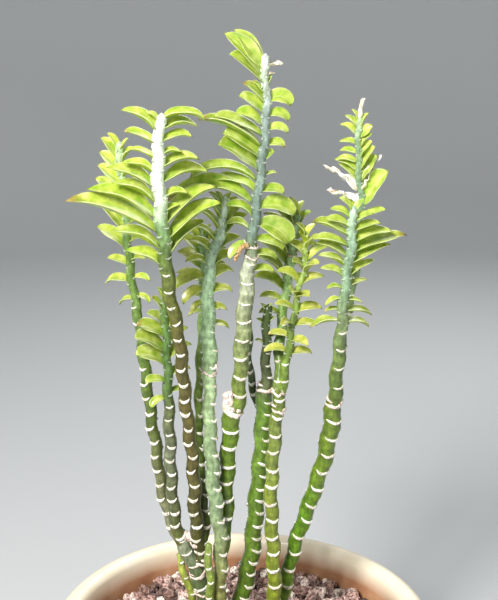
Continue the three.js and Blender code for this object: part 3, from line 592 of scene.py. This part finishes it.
grit_rolls = random.Random(31)
grit = bmesh.new()
stone_layer = grit.verts.layers.float_color.new("stone")
grit_reach = pot_inner_radius(GRIT_LEVEL * MM) / MM
# A dark disc under the stones: painted shade for the gaps between them.
bmesh.ops.create_cone(
    grit, cap_ends=True, segments=96, radius1=grit_reach - 1.6, radius2=grit_reach - 0.8,
    depth=SHADE_BED_DEPTH, matrix=Matrix.Translation((0, 0, GRIT_LEVEL - SHADE_BED_DROP - SHADE_BED_DEPTH / 2)))
for vert in grit.verts:
    vert.co *= MM
    vert[stone_layer] = linear(SHADE_BED_COLOUR)
lanes = int(grit_reach / GRIT_SPACING) + 1
for bed in GRIT_LAYERS:
    for j in range(-lanes - 2, lanes + 3):
        lane = bmesh.new()
        lane_layer = lane.verts.layers.float_color.new("stone")
        for i in range(-lanes, lanes + 1):
            x = (i + 0.5 * (j % 2)) * GRIT_SPACING + grit_rolls.uniform(-GRIT_SCATTER, GRIT_SCATTER)
            y = j * GRIT_SPACING * GRIT_ROW_SHARE + grit_rolls.uniform(-GRIT_SCATTER, GRIT_SCATTER)
            size = grit_rolls.uniform(*bed["sizes"])
            kept = grit_rolls.random() < bed["kept"]
            height = GRIT_LEVEL + bed["height"] + grit_rolls.uniform(-GRIT_UNEVENNESS, GRIT_UNEVENNESS)
            hue = linear(grit_rolls.choice(GRIT_COLOURS))
            if grit_rolls.random() < PALE_SHARE:
                hue = linear(PALE_STONE)
            # The layer's tone paints light and shade onto the stone's colour.
            hue = (hue[0] * bed["tone"], hue[1] * bed["tone"], hue[2] * bed["tone"], 1.0)
            if not kept or math.hypot(x, y) > grit_reach - GRIT_RIM_GAP - size * 0.1:
                continue
            if not clear_of_canes(x, y, size * 0.42):
                continue
            lay_stone(lane, lane_layer, grit_rolls, x, y, height, size, hue)
        pour(lane, grit)
finish_piece(grit, "lava_grit_stones", porous_lava(), "lava_grit", smooth=False)


# ---- Cane skin ----
# The living skin of the canes: a waxy, slightly mealy bloom near the tips that wears off to
# smooth green and olive lower down, with small pale pores.  The near-white at some tips is partly
# that bloom and partly painted highlight.  Each scar sits on a slight swelling.
SWELLING = 0.09
SWELLING_REACH = 1.4
SWELLING_BLOOM = 0.35
BLOOM_REACH = 1.6
UNEVENNESS = 0.035


def skin_colour(stops, z):
    for (high, upper), (low, lower) in zip(stops, stops[1:]):
        if z >= low:
            t = min(max((high - z) / (high - low), 0.0), 1.0)
            return Vector(linear(upper)).lerp(Vector(linear(lower)), t)
    return Vector(linear(stops[-1][1]))


def cane_skin():
    """Succulent skin: semi-gloss under a thin wax bloom, mottled, with pores about 0.6 mm wide."""
    material, tree, shader = new_material("waxy_cane_skin", {
        "Roughness": 0.33, "Sheen Weight": 0.08, "Sheen Roughness": 0.4, "Sheen Tint": linear("#E4EEDC")})
    place = add_node(tree, "TexCoord")["Object"]
    skin = add_node(tree, "Attribute", {"attribute_name": "skin"})["Color"]
    stretch = add_node(tree, "Mapping", None, {"Scale": (1.0, 1.0, 0.45)}, {"Vector": place})
    mottle = add_node(tree, "TexNoise", None, {"Scale": 480.0, "Detail": 5.0}, {
        "Vector": stretch[0]})
    shade = add_node(tree, "ValToRGB", links={"Fac": mottle["Fac"]}, stops=[
        (0.32, (0.62, 0.64, 0.56, 1)), (0.5, (1.05, 1.05, 1.05, 1)), (0.68, (1.4, 1.42, 1.38, 1))])
    mottled = add_node(tree, "Mix", MULTIPLY, {0: 0.85}, {6: skin, 7: shade[0]})
    patches = add_node(tree, "TexNoise", None, {"Scale": 150.0, "Detail": 7.0, "Roughness": 0.7}, {
        "Vector": place})
    mealy = add_node(tree, "MapRange", None, {"From Min": 0.46, "From Max": 0.64, "To Max": 0.7}, {
        "Value": patches["Fac"]})
    bloomed = add_node(tree, "Mix", MULTIPLY, {7: (2.0, 1.9, 2.1, 1)}, {
        0: mealy[0], 6: mottled[2]})
    pores = add_node(tree, "TexVoronoi", None, {"Scale": 330.0}, {"Vector": place})
    pore_mask = add_node(tree, "MapRange", None, {"From Min": 0.16, "From Max": 0.1, "To Max": 0.6}, {
        "Value": pores["Distance"]})
    dotted = add_node(tree, "Mix", MULTIPLY, {7: (2.0, 1.9, 1.6, 1)}, {
        0: pore_mask[0], 6: bloomed[2]})
    tree.links.new(dotted[2], shader.inputs["Base Color"])
    add_node(tree, "Bump", None, {"Strength": 0.4, "Distance": 0.0007},
             {"Height": mottle["Fac"]}, feeds=shader.inputs["Normal"])
    return material


def scar_heights(cane, look):
    """Heights of the bare leaf scars, from just under the head down to the grit."""
    rows = cane["rows"]
    ranks = [cane[side]["bottom"] for side in ("left", "right") if side in cane]
    z = look.get("bare_below", min(ranks, default=rows[0][2] + 1) - 6)
    spacing = look["scars"][1]
    heights = []
    while z > max(rows[-1][2] + 4, GRIT_LEVEL + 2):
        heights.append(z)
        z -= spacing / 2
    return heights


def add_cane(target, skin_layer, cane, look):
    """A grid rolled into a tube, swollen at each scar and closed by a dome at the tip."""
    rows = cane["rows"]
    top = rows[0][2]
    foot = rows[-1][2]
    scars = scar_heights(cane, look)
    rings = int((top - foot) / RING_STEP)
    grid = bmesh.ops.create_grid(target, x_segments=CANE_SIDES, y_segments=rings, size=1.0)["verts"]
    found = {}
    for vert in grid:
        angle = math.pi * (vert.co.x + 1)
        level = round((vert.co.y + 1) * 5000)
        z = foot + (top + rows[0][3] - foot) * (vert.co.y + 1) / 2
        if level not in found:
            centre, radius, across, inward, _ = cane_frame(rows, min(z, top))
            if z > top:
                radius *= math.sqrt(max(1 - ((z - top) / rows[0][3]) ** 2, 0.0004))
                centre.z = z
            near = min((abs(z - scar) for scar in scars), default=9.0)
            radius *= 1 + SWELLING * math.exp(-(near / SWELLING_REACH) ** 2)
            colour = skin_colour(look["skin"], z)
            colour *= 1 + SWELLING_BLOOM * math.exp(-(near / BLOOM_REACH) ** 2)
            found[level] = (centre, radius, across, inward, colour)
        centre, radius, across, inward, colour = found[level]
        radius *= 1 + UNEVENNESS * noise.noise(Vector((math.cos(angle), math.sin(angle), z * 0.08)))
        vert[skin_layer] = colour
        vert.co = (centre + (across * math.cos(angle) + inward * math.sin(angle)) * radius) * MM
    bmesh.ops.remove_doubles(target, verts=grid, dist=1e-6)
    bmesh.ops.holes_fill(target, edges=target.edges, sides=0)


# ---- Leaf scars and calluses ----
# Each fallen leaf leaves a raised corky crescent, white and dry, that hangs like a smile across
# the cane.  They alternate on two sides of it.  Pruned joints heal over as ragged collars and
# lumpy knobs, and under each living leaf sits a small waxy boss.
FRESH_CORK = "#FBFAF2"
OLD_CORK = "#B4AF90"
COLLAR_CORK = "#EDDCD2"
CALLUS = "#F0DCD6"
DRIED_SCRAP = "#C4A070"
AGEING_SCARS = 14
SCAR_WIDTH = 1.3
SCAR_DROOP = 0.9
SCAR_RAGGED = 0.6
SCAR_STANDOFF = 1.03
SCAR_DEPTH = 0.42
DROOP_CENTRE = 0.35
COLLAR_SWEEP = 100
COLLAR_DROOP = 0.3
COLLAR_RAGGED = 2.4
KNOBS = {
    "canes_left": [(-35, -1, 192, 3.2, CALLUS), (-31, -2, 187, 3.0, CALLUS)],
    "canes_middle": [
        (-10.4, -2.4, 290.5, 2.3, CALLUS), (-8, -2, 291, 1.9, CALLUS), (-10, -3.4, 286, 1.9, CALLUS),
        (-7, -3.6, 281, 2.1, CALLUS), (-4.2, -3.8, 277, 1.9, CALLUS), (-2.8, -3.4, 280.5, 1.5, CALLUS),
        (-17.6, -0.5, 309, 2.0, CALLUS),
        (2.2, -6, 388.6, 1.6, DRIED_SCRAP), (0.4, -6.8, 388, 1.5, DRIED_SCRAP),
        (-1.2, -7.2, 386.6, 1.6, DRIED_SCRAP), (-2.6, -7.2, 384.6, 1.6, DRIED_SCRAP),
        (-3.6, -7, 382.2, 1.5, DRIED_SCRAP), (-4.2, -6.8, 380, 1.1, DRIED_SCRAP)],
}


def scar_cork():
    """Dry cork over a healed scar: chalky white, matt, with brown in its cracks."""
    material, tree, shader = new_material("scar_cork", {"Roughness": 0.75})
    place = add_node(tree, "TexCoord")["Object"]
    tone = add_node(tree, "Attribute", {"attribute_name": "cork"})["Color"]
    crack = add_node(tree, "TexNoise", None, {"Scale": 700.0, "Detail": 4.0}, {"Vector": place})
    shade = add_node(tree, "ValToRGB", links={"Fac": crack["Fac"]}, stops=[
        (0.34, linear("#9A7E6C")), (0.42, linear("#EDE6DC")), (0.55, (1, 1, 1, 1))])
    cracked = add_node(tree, "Mix", MULTIPLY, {0: 0.9}, {6: tone, 7: shade[0]})
    tree.links.new(cracked[2], shader.inputs["Base Color"])
    add_node(tree, "Bump", None, {"Strength": 0.6, "Distance": 0.0008},
             {"Height": crack["Fac"]}, feeds=shader.inputs["Normal"])
    return material


def add_crescent(target, cork_layer, cane, z, facing, sweep, droop, width, rolls, ragged, colour):
    """A spindle bent round the cane, thick in its middle, with both ends swept up."""
    spindle = bmesh.ops.create_uvsphere(target, u_segments=6, v_segments=10, radius=1.0)["verts"]
    centre, radius, across, inward, tangent = cane_frame(cane["rows"], z)
    phase = rolls.uniform(0, 20)
    tilt = rolls.uniform(-0.5, 0.5)
    for vert in spindle:
        along = vert.co.z
        angle = math.radians(facing + along * sweep)
        wander = ragged * noise.noise(Vector((along * 5, phase, 0)))
        height = droop * along * along - droop * DROOP_CENTRE + wander + tilt * along
        height += vert.co.x * width * 0.5
        outward = radius * SCAR_STANDOFF + vert.co.y * width * SCAR_DEPTH + abs(wander) * 0.4
        point = centre + (across * math.cos(angle) + inward * math.sin(angle)) * outward + tangent * height
        vert.co = point * MM
        vert[cork_layer] = colour


def add_knob(target, cork_layer, x, y, z, size, colour, phase):
    lump = bmesh.ops.create_icosphere(target, subdivisions=3, radius=1.0)["verts"]
    for vert in lump:
        swell = 1 + 0.45 * noise.noise(vert.co * 1.6 + Vector((phase, 0, 0)))
        swell += 0.3 * noise.noise(vert.co * 4)
        vert.co = (vert.co * size * swell + Vector((x, y, z))) * MM
        vert[cork_layer] = linear(colour)


def add_scars(target, cork_layer, cane, look, rolls):
    """The crescents down one cane, wider and deeper with age, and the collars of its joints."""
    facing, _, half_sweep = look["scars"]
    for i, z in enumerate(scar_heights(cane, look)):
        age = min(i / AGEING_SCARS, 1.0)
        height = z + rolls.uniform(-0.5, 0.5)
        side = facing + (180 if i % 2 else 0) + rolls.uniform(-10, 10)
        reach = half_sweep * (0.8 + 0.3 * age) + rolls.uniform(0, 8)
        width = SCAR_WIDTH + age + rolls.uniform(0, 0.4)
        colour = Vector(linear(FRESH_CORK)).lerp(Vector(linear(OLD_CORK)), rolls.uniform(0, 0.55))
        add_crescent(
            target, cork_layer, cane, height, side, reach, SCAR_DROOP * (1 + age), width, rolls,
            SCAR_RAGGED, colour)
    for z, size in look.get("joints", []):
        for k in range(3):
            add_crescent(
                target, cork_layer, cane, z + (k - 1) * size * 0.6, 120 * k - 90, COLLAR_SWEEP,
                COLLAR_DROOP, size, rolls, COLLAR_RAGGED, linear(COLLAR_CORK))


# ---- Leaves ----
# Thick boat-shaped blades in two ranks, each arching out of its node, keeled underneath, with a
# pale margin that is painted highlight, and a paler inner face and darker underside that are partly
# their own tones and partly painted light and shade.  The lowest are small and curled, a few have
# dried to paper.
LEAF_FOLD = math.radians(33)
LEAF_BEND = 48
LEAF_ROLL = 18
LEAF_CROWDING = 1.15
LEAF_SEAT = 0.3
SHORT_WIDTH = 0.58
LONG_WIDTH = 8
LONG_WIDENING = 0.25
LEAF_THICKNESS = 1.1
LEAF_THICKENING = 0.02
LEAF_TIP_THICKNESS = 0.35
LEAF_AROUND = 12
LEAF_ALONG = 12
AZIMUTH_SCATTER = 0.12
RISE_SCATTER = 2.5
BEND_SCATTER = 6
ROLL_SCATTER = 5
BLADE_INSET = 0.999
BLADE_ROOT_POWER = 0.85
POINTED_TIP_POWER = 0.85
BLUNT_TIP_POWER = 0.62
ROOT_WIDTH = 0.22
UPPER_DEPTH = 0.28
KEEL_DEPTH = 0.78
FOLD_SHARPNESS = 0.2
CRUMPLE = 2.4
CRUMPLE_SCALE = 0.3
CRUMPLE_STEP = 5.0
DRY_TWIST = 2.4
DRY_NARROWING = 0.5
BURNT_SHARE = 0.1
BURNT_TONE = 0.8
UNDERSIDE_AND_SHADE = "#7E9A22"
FACE_AND_LIGHT = "#DDE88A"
BOSS_BLOOM = "#EAF2E6"
CLUMP_SEED = 17
growth = {"seed": CLUMP_SEED}


def draw(spread):
    growth["seed"] = (growth["seed"] * 16807) % 2147483647
    return (growth["seed"] / 2147483647 - 0.5) * 2 * spread


def spread_over(values, t):
    place = t * (len(values) - 1)
    low = min(int(place), len(values) - 2)
    return values[low] + (values[low + 1] - values[low]) * (place - low)


def waxy_leaf():
    """A fleshy living blade: yellow-green, semi-gloss, lit through, paler along the rib.  Its pale
    margin is painted highlight, and its whitish patches are frost-like bloom and painted highlight.
    """
    material, tree, shader = new_material("waxy_leaf", {
        "Roughness": 0.34, "Coat Weight": 0.45, "Coat Roughness": 0.28, "Subsurface Weight": 0.12,
        "Subsurface Radius": (0.004, 0.005, 0.001), "Subsurface Scale": 1.0})
    place = add_node(tree, "TexCoord")["Object"]
    blade = add_node(tree, "UVMap", {"uv_map": "blade"})[0]
    parts = add_node(tree, "SeparateXYZ", links={0: blade})
    tint = add_node(tree, "Attribute", {"attribute_name": "tint"})["Color"]
    dry = add_node(tree, "Attribute", {"attribute_name": "dry"})["Fac"]
    patch = add_node(tree, "TexNoise", None, {"Scale": 190.0, "Detail": 6.0}, {"Vector": place})
    root = add_node(tree, "MapRange", None, {"From Min": 0.45, "From Max": 0.0, "To Max": 0.55}, {
        "Value": parts["X"]})
    # The whitish top of this ramp is partly a frost-like bloom and partly painted highlight scattered over
    # the blade.
    shade = add_node(tree, "ValToRGB", links={"Fac": patch["Fac"]}, stops=[
        (0.34, (0.6, 0.78, 0.4, 1)), (0.48, (1, 1, 1, 1)), (0.57, (1.2, 1.14, 1.5, 1)),
        (0.68, (1.55, 1.4, 3.2, 1))])
    mottled = add_node(tree, "Mix", MULTIPLY, {0: 0.9}, {6: tint, 7: shade[0]})
    middle = add_node(tree, "Math", {"operation": "SUBTRACT"}, {1: 0.5}, {0: parts["Y"]})
    side = add_node(tree, "Math", {"operation": "ABSOLUTE"}, links={0: middle[0]})
    # The pale margin is a painted highlight along the blade's edge; the pale rib is its own colour.
    edge_highlight = add_node(tree, "MapRange", None, {"From Min": 0.42, "From Max": 0.495, "To Max": 0.75}, {
        "Value": side[0]})
    rib = add_node(tree, "MapRange", None, {"From Min": 0.045, "From Max": 0.01, "To Max": 0.3}, {
        "Value": side[0]})
    highlight_and_rib = add_node(tree, "Math", {"operation": "MAXIMUM"}, links={
        0: edge_highlight[0], 1: rib[0]})
    rooted = add_node(tree, "Mix", MULTIPLY, {7: linear("#C9DE9A")}, {
        0: root[0], 6: mottled[2]})
    edged = add_node(tree, "Mix", BLEND, {7: linear("#EAF0B4")}, {
        0: highlight_and_rib[0], 6: rooted[2]})
    papery = add_node(tree, "ValToRGB", links={"Fac": patch["Fac"]}, stops=[
        (0.34, linear("#8A6238")), (0.42, linear("#E2D6C2")), (0.58, linear("#FBF8F1"))])
    scorched = add_node(tree, "ValToRGB", links={"Fac": patch["Fac"]}, stops=[
        (0.36, linear("#4A2E16")), (0.52, linear("#8C6434")), (0.66, linear("#C9B27C"))])
    crisp = add_node(tree, "MapRange", None, {"From Min": 0.8, "From Max": 0.9}, {"Value": dry})
    withered = add_node(tree, "Mix", BLEND, links={
        0: crisp[0], 6: scorched[0], 7: papery[0]})
    aged = add_node(tree, "Mix", BLEND, links={0: dry, 6: edged[2], 7: withered[2]})
    tree.links.new(aged[2], shader.inputs["Base Color"])
    add_node(tree, "Bump", None, {"Strength": 0.3, "Distance": 0.0008},
             {"Height": patch["Fac"]}, feeds=shader.inputs["Normal"])
    return material


def blade_share(s, tip_power):
    """Share of the full width at s, nought at root and tip and 1 where the blade is widest."""
    widest = BLADE_ROOT_POWER / (BLADE_ROOT_POWER + tip_power)
    peak = widest ** BLADE_ROOT_POWER * (1 - widest) ** tip_power
    return s ** BLADE_ROOT_POWER * (1 - s) ** tip_power / peak


def crumple_push(place):
    """A push in three directions that changes smoothly with the place and is the same each run."""
    return Vector([noise.noise(place + Vector((0, 0, CRUMPLE_STEP * axis))) for axis in range(3)])


def add_leaf(target, layers, leaf):
    """A blade bent from a sphere: its poles are the root and the tip, its equator the section."""
    bend = math.radians(leaf["bend"])
    start = math.radians(leaf["rise"]) + bend / 2
    arc = leaf["length"] * BLADE_INSET * (bend / 2) / math.sin(bend / 2)
    out = Vector((math.cos(leaf["azimuth"]), math.sin(leaf["azimuth"]), 0))
    flat = Vector((-out.y, out.x, 0))
    rise = Vector((0, 0, 1))
    ball = bmesh.ops.create_uvsphere(
        target, u_segments=LEAF_AROUND, v_segments=LEAF_ALONG, radius=1.0)["verts"]
    tint_layer, dry_layer, uv_layer = layers
    # The underside is tinted darker and the inner face paler: partly their own tones, partly painted shade
    # under the blade and painted light on its face.
    shaded_underside = Vector(leaf["tint"]).lerp(Vector(linear(UNDERSIDE_AND_SHADE)), 0.4)
    upper = Vector(leaf["tint"]).lerp(Vector(linear(FACE_AND_LIGHT)), 0.2)
    places = {}
    for vert in ball:
        s = 0.5 + math.asin(max(-1.0, min(1.0, vert.co.z))) / math.pi
        ring = math.hypot(vert.co.x, vert.co.y)
        side = vert.co.x / ring if ring > 1e-6 else 0.0
        face = vert.co.y / ring if ring > 1e-6 else 0.0
        angle = start - bend * s
        up = rise * math.cos(angle) - out * math.sin(angle)
        roll = leaf["roll"] + leaf["dry"] * DRY_TWIST * (s - 0.3)
        across = flat * math.cos(roll) + up * math.sin(roll)
        normal = up * math.cos(roll) - flat * math.sin(roll)
        along = Vector(leaf["root"])
        along += out * (arc * (math.sin(start) - math.sin(angle)) / bend)
        along += rise * (arc * (math.cos(angle) - math.cos(start)) / bend)
        half = leaf["width"] / 2 * max(blade_share(s, leaf["tip_power"]), ROOT_WIDTH * (1 - s) ** 0.5)
        half *= 1 - DRY_NARROWING * leaf["dry"] * smooth_step(0.0, 0.6, s)
        lift = math.hypot(side, FOLD_SHARPNESS) - FOLD_SHARPNESS
        lift *= half * math.sin(LEAF_FOLD) * 1.05
        lift += leaf["wave"] * half * side * side * math.sin(7 * s + leaf["phase"])
        taper = LEAF_TIP_THICKNESS + (1 - LEAF_TIP_THICKNESS) * (1 - s)
        thick = leaf["thick"] * taper * min(1.0, ring * 1.6)
        depth = face * thick * (UPPER_DEPTH if face > 0 else KEEL_DEPTH)
        point = along + across * (side * half * math.cos(LEAF_FOLD)) + normal * (lift + depth)
        if leaf["dry"] > 0:
            crumple = CRUMPLE * leaf["dry"] * smooth_step(0.0, 0.3, s)
            point += crumple_push(point * CRUMPLE_SCALE) * crumple
        vert.co = point * MM
        vert[tint_layer] = shaded_underside.lerp(upper, smooth_step(-0.05, 0.3, face))
        vert[dry_layer] = max(leaf["dry"], smooth_step(0.78, 0.96, s) * leaf["burnt"])
        places[vert] = (s, side * 0.5 + 0.5)
    for face in {face for vert in ball for face in vert.link_faces}:
        for loop in face.loops:
            loop[uv_layer].uv = places[loop.vert]


def given(rank, key, t, usual):
    return spread_over(rank[key], t) if key in rank else usual


def grow_rank(target, layers, bosses, cork_layer, cane, look, name, side, rolls):
    rank = cane[name]
    young, old = (Vector(linear(hex_colour)) for hex_colour in look["leaves"])
    for i, length in enumerate(rank["lengths"]):
        t = i / (len(rank["lengths"]) - 1)
        z = rank["top"] + (rank["bottom"] - rank["top"]) * t ** LEAF_CROWDING
        centre, radius = cane_at(cane["rows"], z)
        turned = math.radians(given(rank, "turn", t, 0))
        towards = math.radians(cane.get("plane", 0)) + (-turned if side > 0 else math.pi + turned)
        seat = LEAF_SEAT * radius
        tint = young.lerp(old, t) * rolls.uniform(0.85, 1.12)
        tint[3] = 1.0
        width = min(SHORT_WIDTH * length, LONG_WIDTH + LONG_WIDENING * length)
        blunting = (BLUNT_TIP_POWER - POINTED_TIP_POWER) * given(rank, "blunt", t, 0)
        leaf = {
            "root": (centre.x + math.cos(towards) * seat, centre.y + math.sin(towards) * seat, z - seat),
            "length": length,
            "width": width * given(rank, "broad", t, 1),
            "thick": LEAF_THICKNESS + LEAF_THICKENING * length,
            "tip_power": POINTED_TIP_POWER + blunting,
            "azimuth": towards + draw(AZIMUTH_SCATTER),
            "rise": spread_over(rank["rise"], t) + draw(RISE_SCATTER),
            "bend": given(rank, "bend", t, LEAF_BEND) + draw(BEND_SCATTER),
            "roll": side * math.radians(given(rank, "roll", t, LEAF_ROLL) + draw(ROLL_SCATTER)),
            "dry": look.get("dry", {}).get((name, i), 0.0),
            "burnt": look.get("burnt", {}).get((name, i), BURNT_TONE * (rolls.random() < BURNT_SHARE)),
            "tint": tint,
            "wave": rolls.uniform(0.04, 0.16),
            "phase": rolls.uniform(0, 6),
        }
        add_leaf(target, layers, leaf)
        facing = -90 + side * rolls.uniform(40, 60)
        bloom = skin_colour(look["skin"], z).lerp(Vector(linear(BOSS_BLOOM)), 0.4)
        add_crescent(bosses, cork_layer, cane, z - 1.5, facing, 30, 0.8, 1.2, rolls, 0.2, bloom)


skin_material = cane_skin()
cork_material = scar_cork()
leaf_material = waxy_leaf()
for clump_name, canes in CLUMPS.items():
    growth["seed"] = CLUMP_SEED
    rolls = random.Random(clump_name)
    stems = bmesh.new()
    stems.verts.layers.float_color.new("skin")
    scars = bmesh.new()
    scars.verts.layers.float_color.new("cork")
    leaves = bmesh.new()
    for cane, look in zip(canes, LOOKS[clump_name]):
        tube = bmesh.new()
        add_cane(tube, tube.verts.layers.float_color.new("skin"), cane, look)
        pour(tube, stems)
        marks = bmesh.new()
        cork_layer = marks.verts.layers.float_color.new("cork")
        add_scars(marks, cork_layer, cane, look, rolls)
        for name, side in (("left", -1), ("right", 1)):
            if name in cane:
                blades = bmesh.new()
                blade_layers = (
                    blades.verts.layers.float_color.new("tint"), blades.verts.layers.float.new("dry"),
                    blades.loops.layers.uv.new("blade"))
                grow_rank(blades, blade_layers, marks, cork_layer, cane, look, name, side, rolls)
                pour(blades, leaves)
        pour(marks, scars)
    knobs = bmesh.new()
    knob_layer = knobs.verts.layers.float_color.new("cork")
    for i, (x, y, z, size, colour) in enumerate(KNOBS.get(clump_name, [])):
        add_knob(knobs, knob_layer, x, y, z, size, colour, 3 * i)
    pour(knobs, scars)
    for part, layer, material in (
            ("skin", stems, skin_material),
            ("scars", scars, cork_material),
            ("leaves", leaves, leaf_material)):
        bmesh.ops.recalc_face_normals(layer, faces=layer.faces)
        finish_piece(layer, f"{clump_name}_{part}", material, clump_name)


# ---- Floor, light and camera ----
# A round bay of plain pale paper, soft light from the front left like the light on the plant, and
# a camera as far from the plant and as high above it as the rim's oval says.
PAPER_FLAT = 1.9
PAPER_CURVE = 0.8
PAPER_HEIGHT = 1.9
PAPER_SIDES = 64
PAPER_COLOUR = "#CDD0D1"
AIR_COLOUR = (0.9, 0.92, 0.95, 1)
AIR_STRENGTH = 0.24
CAMERA_PLACE = (0.004, -0.668, 0.521)
CAMERA_PITCH = math.radians(14.15)
CAMERA_LENS = 66.0

paper = bmesh.new()
paper_line = [(0.0, 0.0), (PAPER_FLAT, 0.0)]
for degrees in range(10, 91, 10):
    angle = math.radians(degrees)
    paper_line.append((PAPER_FLAT + math.sin(angle) * PAPER_CURVE, PAPER_CURVE * (1 - math.cos(angle))))
paper_line.append((PAPER_FLAT + PAPER_CURVE, PAPER_HEIGHT))
paper_verts = [paper.verts.new((x, 0, z)) for x, z in paper_line]
paper_edges = [paper.edges.new(pair) for pair in zip(paper_verts, paper_verts[1:])]
bmesh.ops.spin(
    paper, geom=paper_verts + paper_edges, cent=(0, 0, 0), axis=(0, 0, 1), angle=2 * math.pi,
    steps=PAPER_SIDES, use_merge=True)
bmesh.ops.remove_doubles(paper, verts=paper.verts, dist=1e-5)
bmesh.ops.recalc_face_normals(paper, faces=paper.faces)
paper_data = bpy.data.meshes.new("paper_sweep")
paper.to_mesh(paper_data)
paper.free()
paper_data.polygons.foreach_set("use_smooth", [True] * len(paper_data.polygons))
paper_sweep = bpy.data.objects.new("paper_sweep", paper_data)
bpy.context.collection.objects.link(paper_sweep)
paper_material, _, _ = new_material("pale_paper", {"Base Color": linear(PAPER_COLOUR), "Roughness": 0.85})
paper_data.materials.append(paper_material)


def add_light(name, place, target, size, power, colour):
    lamp = bpy.data.lights.new(name, "AREA")
    lamp.shape = "SQUARE"
    lamp.size = size
    lamp.energy = power
    lamp.color = colour
    holder = bpy.data.objects.new(name, lamp)
    bpy.context.collection.objects.link(holder)
    holder.location = place
    holder.rotation_euler = (Vector(target) - Vector(place)).to_track_quat("-Z", "Y").to_euler()


plant_middle = (0, 0, 0.3)
add_light("key_light", (-0.6, -1.0, 1.15), plant_middle, 0.4, 35.0, (1.0, 0.98, 0.95))
add_light("fill_light", (1.0, -1.2, 0.5), plant_middle, 1.2, 5.6, (0.96, 0.98, 1.0))
add_light("back_light", (0.5, 1.1, 1.3), plant_middle, 0.8, 9.0, (1.0, 1.0, 1.0))

world = bpy.data.worlds.new("studio_air")
bpy.context.scene.world = world
world.use_nodes = True
world.node_tree.nodes["Background"].inputs["Color"].default_value = AIR_COLOUR
world.node_tree.nodes["Background"].inputs["Strength"].default_value = AIR_STRENGTH
bpy.context.scene.view_settings.view_transform = "Standard"

camera_data = bpy.data.cameras.new("photo_camera")
camera_data.sensor_width = 36.0
camera_data.lens = CAMERA_LENS
camera_data.clip_start = 0.01
camera_object = bpy.data.objects.new("photo_camera", camera_data)
bpy.context.collection.objects.link(camera_object)
camera_object.location = CAMERA_PLACE
camera_object.rotation_euler = (math.pi / 2 - CAMERA_PITCH, 0, 0)
bpy.context.scene.camera = camera_object
